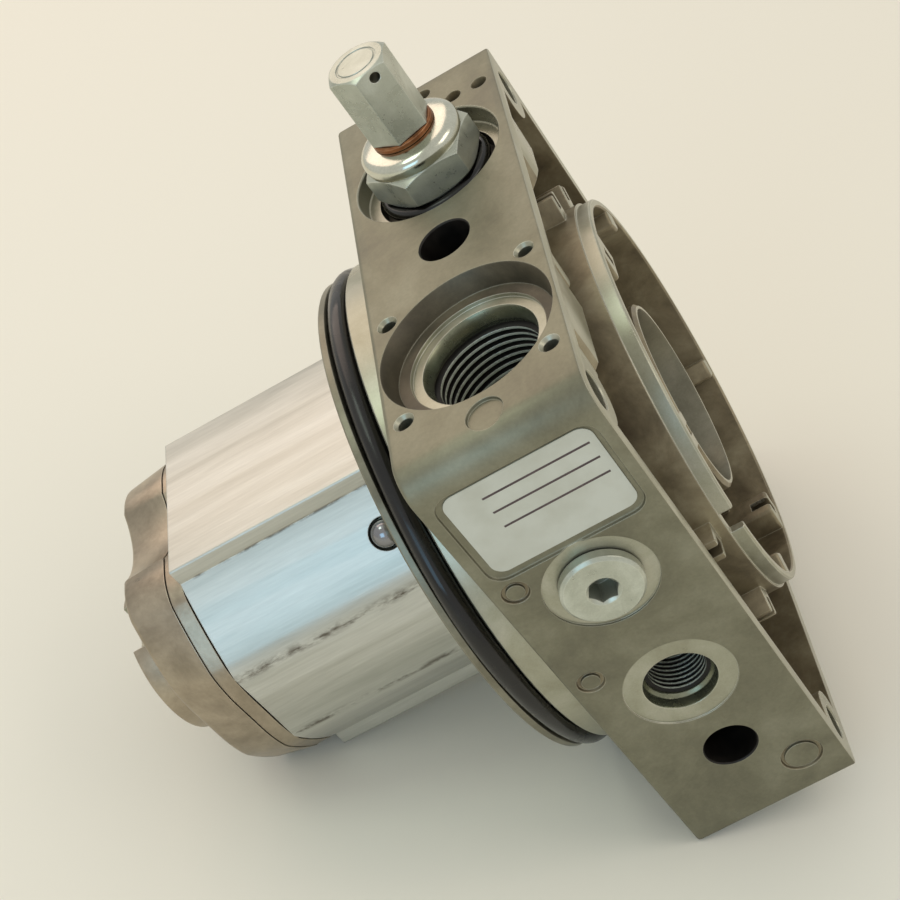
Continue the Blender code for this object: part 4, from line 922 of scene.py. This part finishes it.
@dataclass
class Thread:
    """Helical ridge of a pipe thread on the wall of a bore; sizes in millimetres."""

    name: str
    centre: Point
    axis: Axis
    start: float
    length: float
    major: float
    minor: float
    pitch: float
    crest_share: float = 0.18
    root_share: float = 0.46

    def build(self, finish: Material, root: Material) -> Object:
        """Screw a ridge with a flat crest round the axis and hand it over."""
        rest()
        bpy.ops.mesh.primitive_circle_add(vertices=4, radius=1, fill_type="NOTHING")
        obj = bpy.context.object
        wall, crest, root_half = self.major + 0.25, self.crest_share, self.root_share
        corners = ((self.minor, crest), (wall, root_half), (wall, -root_half), (self.minor, -crest))
        for vert, (radius, share) in zip(obj.data.vertices, corners):
            vert.co = Vector((radius, 0, self.start + share * self.pitch)) * MM
        change = obj.modifiers.new("turns", "SCREW")
        change.screw_offset = self.pitch * MM
        change.iterations = int(self.length / self.pitch)
        change.steps = ROUND
        change.use_merge_vertices = True
        bpy.ops.object.modifier_apply(modifier=change.name)
        with editing(obj):
            bpy.ops.mesh.fill_holes(sides=4)
            bpy.ops.mesh.select_all(action="SELECT")
            bpy.ops.mesh.normals_make_consistent(inside=False)
        flank = self.minor + 0.1
        settle(self.name, Axis.Z, (0, 0), finish)
        # Flanks and roots out at the wall take the near-black painted shade.
        paint(obj, root, lambda spot, normal: math.hypot(spot.x, spot.y) > flank)
        obj.rotation_euler = (-math.pi / 2, 0, 0) if self.axis is Axis.Y else (0, 0, 0)
        obj.location = point(self.axis, 0, self.centre)
        bpy.ops.object.transform_apply(location=True, rotation=True, scale=True)
        return hand_over(obj, "cast_aluminium")


@dataclass
class TankSeal:
    """O-ring of the tank flange, which hangs slack at the front; sizes in millimetres."""

    mean: float = 60.7
    thick: float = 2.6
    station: float = -51.7
    slack: float = 2.2
    slack_angle: float = math.radians(160)
    slack_spread: float = math.radians(26)

    def build(self, finish: Material) -> Object:
        """Model the ring and pull its slack stretch outwards."""
        obj = ring("tank_seal", self.mean, self.thick, self.station, (0, 0), Axis.X, finish)
        for vert in obj.data.vertices:
            angle = math.atan2(vert.co.z, vert.co.y)
            off = (angle - self.slack_angle + math.pi) % TAU - math.pi
            pull = self.slack * math.exp(-(off / self.slack_spread) ** 2) * MM
            outward = Vector((0, vert.co.y, vert.co.z)).normalized()
            vert.co += outward * pull
        return hand_over(obj, "black_rubber", "tank_o_ring")


@dataclass
class PumpHousing:
    """Extruded body, end plate, cast cover and the four screws; sizes in millimetres."""

    finishes: Finishes
    middle: float = 11.0
    centre: float = 9.3
    start: float = -56.9
    end: float = -115.0
    flat_half: float = 23.4
    flat_top: float = 36.3
    step: float = 4.4
    rail_edge: float = 0.6
    half: float = 38.6
    nose: float = 12.0
    bulge: float = 0.9
    facets: int = 6
    corner: float = 7.0
    corner_reach: float = 2.5
    waist: float = 24.0
    waist_top: float = 28.8
    waist_y: float = 9.5
    gear_bore: float = 13.5
    window_half: float = 4.0
    window_span: Point = (-91.1, -78.2)
    passage: float = 4.5
    passage_z: float = 21.5
    seal_outer: float = 17.6
    seal_inner: float = 15.2
    seal_depth: float = 1.8
    bolt_y: float = 18.0
    bolt_z: float = 22.8
    bolt_hole: float = 4.3
    dowel_y: float = 32.5
    dowel_hole: float = 2.8
    shank: float = 4.0
    head: float = 6.0
    socket: float = 6.0
    ball: Spot = (-66.6, -21.6, 22.9)
    ball_radius: float = 3.4
    ball_pocket: float = 4.0
    ball_below: float = 2.9
    plate: Point = (-119.0, -115.3)
    plate_inset: float = -0.2
    cover: Point = (-131.0, -119.2)
    cover_inset: float = -0.4
    cover_draft: float = 4.0
    cover_edge: float = 1.4
    boss: Profile = ((-120.5, 19.4), (-130.2, 19.4), (-136.2, 19.3), (-136.8, 19.1), (-137.0, 18.7))
    boss_centre: Point = (-1.5, 4.5)
    suction: Profile = ((-138.5, 9.5), (-137.0, 8.6), (-136.4, 8.0), (-123.0, 8.0))

    @property
    def bolts(self) -> list[Point]:
        """Cross positions of the four screws."""
        return four(self.bolt_y, self.bolt_z, self.middle)

    @property
    def low_top(self) -> float:
        """Height of the body beside its rails."""
        return self.flat_top - self.step

    def build(self) -> None:
        """Model and hand over every piece."""
        self._body()
        self._ball()
        self._plate()
        self._cover()
        self._screws()

    def _body(self) -> Object:
        """Flat top and bottom rails on a body with four bulged facets."""
        f, mid, low = self.finishes, self.centre, self.low_top
        body = block("pump_extrusion", (self.end, mid - self.half, -low), (self.start, mid + self.half, low),
                     f.extruded)
        self._facets(body, 0.0)
        rails = block("rails", (self.end, mid - self.flat_half, -self.flat_top),
                      (self.start, mid + self.flat_half, self.flat_top), f.extruded)
        bevel_where(rails, along_x, self.rail_edge, 3)
        fuse(body, rails)
        self._chamber(body)
        return hand_over(body, "extruded_aluminium", "pump_body")

    def _facets(self, body: Object, inset: float) -> None:
        """Plane the four corners into shallow arcs."""
        first, last = Vector((self.flat_half, self.low_top)), Vector((self.half, self.nose))
        across = Vector((first.y - last.y, last.x - first.x)).normalized()
        spots = []
        for i in range(self.facets + 1):
            share = i / self.facets
            spots.append(first.lerp(last, share) + across * (self.bulge * 4 * share * (1 - share) - inset))
        with editing(body):
            for near, far in zip(spots, spots[1:]):
                out = Vector((near.y - far.y, far.x - near.x)).normalized()
                for sy, sz in four(1, 1):
                    bpy.ops.mesh.select_all(action="SELECT")
                    bpy.ops.mesh.bisect(plane_co=(0, (self.centre + sy * near.x) * MM, sz * near.y * MM),
                                        plane_no=(0, sy * out.x, sz * out.y), use_fill=True,
                                        clear_outer=True)

    def _holes(self, radius: float, span: Point, spots: Sequence[Point]) -> list[Object]:
        """Cutters for plain round holes along X."""
        return [turned("hole", ((span[0], radius), (span[1], radius)), spot, Axis.X, self.finishes.machined,
                       SMALL) for spot in spots]

    def _chamber(self, body: Object) -> None:
        """Gear chamber, windows, seal grooves, bolt and dowel holes and the ball pocket."""
        bright, mid, half = self.finishes.machined, self.middle, self.window_half
        low, high = self.end - 1, self.start + 1
        split = (self.window_span[0] + self.window_span[1]) / 2
        for y in (0, 2 * mid):
            cut(body, turned("chamber", ((low, self.gear_bore), (high, self.gear_bore)), (y, 0), Axis.X,
                             bright))
        for z, span in ((self.passage_z, (split, high)), (-self.passage_z, (low, split))):
            cut(body, *self._holes(self.passage, span, ((mid, z),)))
            cut(body, block("window", (self.window_span[0], mid - half, min(0, z)),
                            (self.window_span[1], mid + half, max(0, z)), bright))
        for station, way in ((self.start, -1), (self.end, 1)):
            depth = way * self.seal_depth
            groove = self._oval(self.seal_outer, (station - way, station + depth))
            cut(groove, self._oval(self.seal_inner, (station - 2 * way, station + 2 * depth)))
            cut(body, groove)
        dowels = [(mid + sy * self.dowel_y, 0) for sy in (-1, 1)]
        cut(body, merged(self._holes(self.bolt_hole, (low, high), self.bolts)
                         + self._holes(self.dowel_hole, (-61, high), dowels)))
        out = Vector((0, self.nose + self.step - self.flat_top, self.half - self.flat_half))
        rest()
        bpy.ops.mesh.primitive_cylinder_add(vertices=ROUND, radius=self.ball_pocket * MM, depth=11 * MM,
                                            location=Vector(self.ball) * MM,
                                            rotation=out.to_track_quat("Z", "Y").to_euler())
        cut(body, settle_here("ball_pocket", bright))

    def _ball(self) -> Object:
        """Steel ball pressed into its pocket as a plug."""
        rest()
        bpy.ops.mesh.primitive_uv_sphere_add(segments=48, ring_count=24, radius=self.ball_radius * MM,
                                             location=Vector(self.ball) * MM)
        ball = settle_here("plug_ball", self.finishes.steel)
        with editing(ball):
            bpy.ops.mesh.bisect(plane_co=(Vector(self.ball) - Vector((0, 0, self.ball_below))) * MM,
                                plane_no=(0, 0, -1), use_fill=True, clear_outer=True)
        return hand_over(ball, "ground_steel", "body_plug_ball")

    def _oval(self, radius: float, span: Point) -> Object:
        """Slab round both gear centres."""
        low, high = sorted(span)
        far, bright = 2 * self.middle, self.finishes.machined
        slab = block("oval", (low, 0, -radius), (high, far, radius), bright)
        return fuse(slab, *(turned("end", ((low, radius), (high, radius)), (y, 0), Axis.X, bright)
                            for y in (0, far)))

    def _slab(self, name: str, span: Point, inset: float, draft: float) -> Object:
        """Slab with the body's facets, round corners, a waist and a drafted edge.

        Args:
            name: Object name.
            span: Outer and inner X.
            inset: Distance inside the body's outline.
            draft: How much narrower each side is at the outer face.

        Returns:
            The slab.
        """
        low, high = span
        top, mid, finish = self.low_top - inset, self.centre, self.finishes.cover
        slab = block(name, (low, mid - self.half + inset, -top), (high, mid + self.half - inset, top), finish)
        self._facets(slab, inset)
        bevel_where(slab, lambda a, b: self._is_corner(a) and self._is_corner(b) and abs(a.x - b.x) > 1,
                    self.corner, 8)
        with editing(slab):
            bpy.ops.mesh.dissolve_limited(angle_limit=math.radians(0.5))
            bpy.ops.mesh.select_all(action="DESELECT")
            for face in bmesh.from_edit_mesh(slab.data).faces:
                face.select_set(face.normal.x < -0.9)
            bmesh.update_edit_mesh(slab.data)
            bpy.ops.transform.resize(value=(1, 1 - draft / self.half, 1 - draft / 400),
                                     center_override=(low * MM, mid * MM, 0))
        for sz in (-1, 1):
            cut(slab, turned("waist", ((high + 1, self.waist), (low - 1, self.waist + draft * 0.15)),
                             (self.waist_y, sz * (self.waist_top - inset + self.waist)), Axis.X, finish, FINE))
        return slab

    def _is_corner(self, spot: Vector) -> bool:
        """Tell whether a point lies where a facet meets a flat side."""
        high, wide, reach = abs(spot.z), abs(spot.y - self.centre), self.corner_reach
        return high > self.low_top - reach or (wide > self.half - reach and high < self.nose + reach)

    def _plate(self) -> Object:
        """Flat plate behind the cover."""
        plate = self._slab("pump_back_plate", self.plate, self.plate_inset, 0.0)
        span = (-120, -114)
        cut(plate, merged(self._holes(self.bolt_hole, span, self.bolts)
                          + self._holes(self.passage, span, ((self.middle, -self.passage_z),))))
        return hand_over(plate, "cover_aluminium", "pump_end_plate")

    def _cover(self) -> Object:
        """Cast cover with the suction boss."""
        f = self.finishes
        cover = self._slab("pump_back_cover", self.cover, self.cover_inset, self.cover_draft)
        bevel_where(cover, lambda a, b: a.x < self.cover[0] + 0.1 and b.x < self.cover[0] + 0.1,
                    self.cover_edge, 4)
        fuse(cover, turned("boss", self.boss, self.boss_centre, Axis.X, f.cover, FINE))
        cut(cover, merged(self._holes(self.head + 0.3, (-140, -122.6), self.bolts)),
            merged(self._holes(self.bolt_hole, (-124, -118), self.bolts)),
            turned("suction", self.suction, (0, 0), Axis.X, f.machined),
            web("slot", math.atan2(-self.passage_z, self.middle), (0, 28.6), 2 * self.passage,
                (-124.0, -118.0), f.machined))
        return hand_over(cover, "cover_aluminium", "pump_end_cover")

    def _screws(self) -> None:
        """Four socket screws."""
        f = self.finishes
        profile = ((-44.5, self.shank - 0.4), (-45.0, self.shank), (-122.9, self.shank),
                   (-122.9, self.head - 0.1), (-123.1, self.head), (-130.2, self.head),
                   (-130.9, self.head - 0.7))
        for number, centre in enumerate(self.bolts, start=1):
            screw = turned(f"cover_screw_{number}", profile, centre, Axis.X, f.black_steel)
            cut(screw, hexagonal("socket", self.socket, (-132.0, -126.9), centre, Axis.X, f.black_steel))
            hand_over(screw, "ground_steel", f"pump_bolt_{number}")


@dataclass
class ReliefValve:
    """Screw-in relief valve; sizes in millimetres, profiles as heights above the top face and radii."""

    finishes: Finishes
    centre: Point = (-21.0, 33.7)
    top: float = 67.5
    hex_across: float = 24.0
    hex_span: Point = (-2.2, 5.6)
    hex_corner: float = 10.5
    collar: Profile = ((3.4, 11.8), (5.5, 11.9), (5.8, 12.2), (7.5, 12.4), (8.3, 12.2), (8.9, 11.6),
                       (9.4, 10.6), (9.9, 8.2))
    shank: Profile = ((-1.0, 11.0), (-3.0, 11.0), (-3.0, 10.0), (-21.3, 10.0), (-22.0, 9.3), (-22.0, 8.3),
                      (-31.4, 8.3), (-32.0, 7.7))
    bore: Profile = ((-33.0, 2.6), (-29.0, 2.6), (-29.0, 6.0), (3.0, 6.0), (3.0, 4.3), (10.5, 4.3))
    drain: float = 1.6
    drain_height: float = -26.4
    washer: Profile = ((9.9, 7.5), (10.1, 7.8), (11.0, 7.7), (11.3, 7.3))
    washer_hole: Profile = ((9, 4.7), (12.5, 4.7))
    cap_across: float = 13.6
    cap_span: Point = (11.4, 29.8)
    cap_corner: float = 22.0
    cap_bore: Profile = ((10, 4.3), (23.7, 4.3))
    cap_ring: Profile = ((31.0, 5.0), (29.55, 5.0))
    cap_land: Profile = ((32.0, 4.5), (29.0, 4.5))
    wire_hole: float = 1.2
    wire_spot: Point = (2.9, 27.5)
    seal_mean: float = 12.6
    seal_thick: float = 1.6
    seal_height: float = -3.9

    def build(self) -> None:
        """Model and hand over every outer piece of the valve."""
        self._body()
        self._washer()
        self._cap()
        seal = ring("relief_seal", self.seal_mean, self.seal_thick, self.top + self.seal_height, self.centre,
                    Axis.Z, self.finishes.rubber, ROUND)
        hand_over(seal, "black_rubber", "relief_o_ring")

    def _turned(self, name: str, profile: Profile, finish: Material, steps: int = ROUND) -> Object:
        """Round solid on the valve's axis."""
        return turned(name, tuple((self.top + height, radius) for height, radius in profile), self.centre,
                      Axis.Z, finish, steps)

    def _chamfered(self, name: str, across: float, span: Point, slope: float, corner: float,
                   low_too: bool) -> Object:
        """Hexagon bar whose corners were turned down."""
        low, high = span
        wide = across / math.sqrt(3) + 0.4
        tight = across / 2 - 0.25
        bar = hexagonal(name, across, (self.top + low, self.top + high), self.centre, Axis.Z,
                        self.finishes.zinc, corner)
        foot = [(low + slope, wide), (low - TINY, tight)] if low_too else [(low - 1, wide)]
        profile = [(high + TINY, tight), (high - slope, wide), *foot]
        return shape(bar, Step.KEEP, [self._turned("shave", profile, self.finishes.zinc, FINE)])

    def _body(self) -> Object:
        """Hexagon, rolled collar, shank and nose, with the stepped bore."""
        f = self.finishes
        body = self._chamfered("relief_housing", self.hex_across, self.hex_span, 1.4, self.hex_corner, True)
        fuse(body, self._turned("collar", self.collar, f.collar, FINE),
             self._turned("shank", self.shank, f.zinc, FINE))
        reach = ((self.centre[0] - 11, self.drain), (self.centre[0] + 11, self.drain))
        cut(body, self._turned("bore", self.bore, f.zinc),
            turned("drain", reach, (self.centre[1], self.top + self.drain_height), Axis.X, f.zinc, SMALL))
        return hand_over(body, "zinc_plated", "relief_valve_body")

    def _washer(self) -> Object:
        """Copper sealing ring under the cap."""
        copper = self.finishes.copper
        disc = self._turned("relief_sealing_ring", self.washer, copper)
        cut(disc, self._turned("hole", self.washer_hole, copper))
        return hand_over(disc, "copper", "relief_copper_washer")

    def _cap(self) -> Object:
        """Hexagon cap nut with a turned end and a wire hole."""
        f = self.finishes
        cap = self._chamfered("relief_cap_nut", self.cap_across, self.cap_span, 1.1, self.cap_corner, False)
        cut(cap, self._turned("bore", self.cap_bore, f.zinc, SMALL))
        groove = self._turned("groove", self.cap_ring, f.zinc)
        cut(groove, self._turned("land", self.cap_land, f.zinc))
        x, y = self.centre
        spot = (x + self.wire_spot[0], self.top + self.wire_spot[1])
        wire = turned("wire", ((y - 9, self.wire_hole), (y + 9, self.wire_hole)), spot, Axis.Y, f.machined,
                      SMALL)
        cut(cap, groove, wire)
        return hand_over(cap, "zinc_plated", "relief_valve_cap")


@dataclass
class GaugePlug:
    """Socket plug of the gauge port; sizes in millimetres."""

    centre: Point = (-21.0, 21.5)
    seat: float = -67.3
    head: float = 9.1
    thick: float = 3.0

    def build(self, finish: Material) -> Object:
        """Model the plug and hand it over."""
        top = self.seat - self.thick
        profile = ((self.seat + 10.5, 5.9), (self.seat + 9.9, 6.5), (self.seat, 6.5),
                   (self.seat, self.head - 0.2), (self.seat - 0.2, self.head), (top + 0.7, self.head),
                   (top, self.head - 0.7))
        plug = turned("port_m_screw_plug", profile, self.centre, Axis.Y, finish, FINE)
        key = hexagonal("key", 6.0, (top - 1, top + 6), self.centre, Axis.Y, finish)
        mouth = turned("mouth", ((top - 1, 4.2), (top, 3.75), (top + 0.6, 3.0)), self.centre, Axis.Y, finish)
        cut(plug, key, mouth)
        return hand_over(plug, "zinc_plated", "port_m_plug")


@dataclass
class DataLabel:
    """Plain white label in the sunk frame of the front face; sizes in millimetres."""

    centre: Point = (-20.7, 47.3)
    width: float = 33.4
    height: float = 23.6
    floor: float = -66.6
    thick: float = 0.18
    corner: float = 3.0
    line_half: float = 0.26
    line_left: float = 0.27
    line_right: float = 0.45
    line_heights: Spot = (7.5, 3.2, -1.2)

    def build(self, finish: Material) -> Object:
        """Model the label and hand it over."""
        x, z = self.centre
        low = (x - self.width / 2, self.floor - self.thick, z - self.height / 2)
        high = (x + self.width / 2, self.floor + 0.02, z + self.height / 2)
        label = block("data_label", low, high, finish)
        bevel_where(label, lambda a, b: abs(a.x - b.x) + abs(a.z - b.z) < TINY, self.corner, 8)
        return hand_over(label, "cast_aluminium")

    def rule(self, finish: Material) -> Object:
        """Print three plain ruled lines on the label."""
        x, z = self.centre
        front = self.floor - self.thick
        left, right = x - self.width * self.line_left, x + self.width * self.line_right
        lines = [block("label_lines", (left, front - 0.03, z + up - self.line_half),
                       (right, front + 0.05, z + up + self.line_half), finish)
                 for up in self.line_heights]
        return hand_over(merged(lines), "cast_aluminium")


class InnerParts:
    """Procedural finishes for the pieces of the frame that stay."""

    def __init__(self, finishes: Finishes) -> None:
        """Name the finish of every node."""
        self.by_finish = (
            (finishes.steel, ("drive_gear_shaft", "driven_gear_shaft", "dowel_pin_front", "dowel_pin_back",
                              "relief_spring_seat", "relief_poppet")),
            (finishes.machined, ("front_bearing_block", "rear_bearing_block")),
            (finishes.rubber, ("front_face_seal", "rear_face_seal", "shaft_seal", "port_m_seal_ring")),
            (finishes.zinc, ("relief_adjusting_screw",)),
            (finishes.black_steel, ("relief_spring",)))

    def dress(self) -> None:
        """Give every node its finish."""
        for finish, names in self.by_finish:
            for name in names:
                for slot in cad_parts[name].material_slots:
                    slot.material = finish
                LOG.info("%s: dressed", name)


@dataclass
class Studio:
    """Pale sweep, soft lamps and the camera of the photograph; lengths in metres."""

    eye: Spot = (0.06226, -0.3557, 0.28844)
    right: Spot = (0.87574, -0.21394, -0.4328)
    up: Spot = (0.45829, 0.65031, 0.60586)
    back: Spot = (0.15183, -0.72892, 0.66754)
    lens: float = 78.41
    shift: Point = (-0.27183, 0.07912)
    floor_normal: Spot = (0.3714, 0.0, 0.9285)
    floor_spot: Spot = (-0.042, 0.0, -0.0676)

    def build(self) -> None:
        """Set up everything round the object."""
        self._camera()
        self._floor()
        self._lamps()
        self._world()

    def _camera(self) -> None:
        """Place the camera of the photograph."""
        data = bpy.data.cameras.new("photo_camera")
        data.sensor_width = 36.0
        data.lens = self.lens
        data.shift_x, data.shift_y = self.shift
        camera = bpy.data.objects.new("photo_camera", data)
        bpy.context.scene.collection.objects.link(camera)
        turn = Matrix((self.right, self.up, self.back)).transposed()
        camera.matrix_world = Matrix.Translation(self.eye) @ turn.to_4x4()
        bpy.context.scene.camera = camera

    def _floor(self) -> None:
        """Lay the pale table that the block and the cover stand on."""
        rest()
        bpy.ops.mesh.primitive_plane_add(size=3.0)
        floor = bpy.context.object
        floor.name = "table_top"
        turn = Vector(self.floor_normal).to_track_quat("Z", "Y").to_matrix().to_4x4()
        floor.matrix_world = Matrix.Translation(self.floor_spot) @ turn
        bpy.ops.object.transform_apply(location=True, rotation=True, scale=True)
        made, tree, shader = new_material("table_laminate_matt")
        shader.inputs["Roughness"].default_value = 0.7
        shader.inputs["Base Color"].default_value = linear("#EFEADD")
        see_through = add_node(tree, "ShaderNodeBsdfTransparent")
        under = add_node(tree, "ShaderNodeNewGeometry").outputs["Backfacing"]
        choice = add_node(tree, "ShaderNodeMixShader", {}, {0: under, 1: shader.outputs[0],
                                                            2: see_through.outputs[0]})
        tree.links.new(choice.outputs[0], tree.nodes["Material Output"].inputs["Surface"])
        floor.data.materials.append(made)

    def _lamps(self) -> None:
        """Hang the soft boxes."""
        self._lamp("overhead", (-0.2, 0.75, 0.75), (-0.06, 0, 0), 0.8, 2.45, "#FFE4D2")
        self._lamp("ceiling", (-0.2, 0.06, 1.0), (-0.04, 0, 0), 0.3, 0.9, "#EEFFEE")
        self._lamp("window", (-0.35, -0.85, 0.62), (-0.08, 0, 0), 0.55, 1.8, "#9AD2F6")
        self._lamp("right_side", (0.8, -0.2, 0.45), (0, 0, 0), 0.5, 1.3, "#FFF6EA")

    @staticmethod
    def _lamp(name: str, spot: Sequence[float], target: Sequence[float], size: float, watts: float,
              tone: str) -> None:
        """Add a square soft box that looks at a target."""
        data = bpy.data.lights.new(name, "AREA")
        data.size = size
        data.energy = watts
        data.color = linear(tone)[:3]
        lamp = bpy.data.objects.new(name, data)
        bpy.context.scene.collection.objects.link(lamp)
        away = Vector(spot) - Vector(target)
        lamp.matrix_world = Matrix.Translation(spot) @ away.to_track_quat("Z", "Y").to_matrix().to_4x4()

    @staticmethod
    def _world() -> None:
        """Pale room light."""
        world = bpy.data.worlds.new("room")
        world.use_nodes = True
        shade = world.node_tree.nodes["Background"]
        shade.inputs["Color"].default_value = linear("#F1F1EC")
        shade.inputs["Strength"].default_value = 0.76
        bpy.context.scene.world = world
        bpy.context.scene.view_settings.view_transform = "Standard"


def main() -> None:
    """Build the dressed model."""
    logging.basicConfig(level=logging.INFO, format="%(message)s")
    finishes = Finishes()
    ManifoldBlock(finishes).build()
    # Thread crests take a painted highlight and thread roots painted shade.
    Thread("port_c_thread", (-21.0, -33.0), Axis.Z, start=41.2, length=16.4, major=13.2, minor=12.05,
           pitch=1.814).build(finishes.crest, finishes.root)
    Thread("port_v_thread", (-21.0, -15.7), Axis.Y, start=-63.0, length=20.0, major=7.4, minor=6.6,
           pitch=1.337).build(finishes.crest, finishes.root)
    TankSeal().build(finishes.rubber)
    PumpHousing(finishes).build()
    ReliefValve(finishes).build()
    GaugePlug().build(finishes.zinc)
    label = DataLabel()
    label.build(finishes.sticker)
    label.rule(finishes.ink)
    InnerParts(finishes).dress()
    Studio().build()


if __name__ == "__main__":
    main()
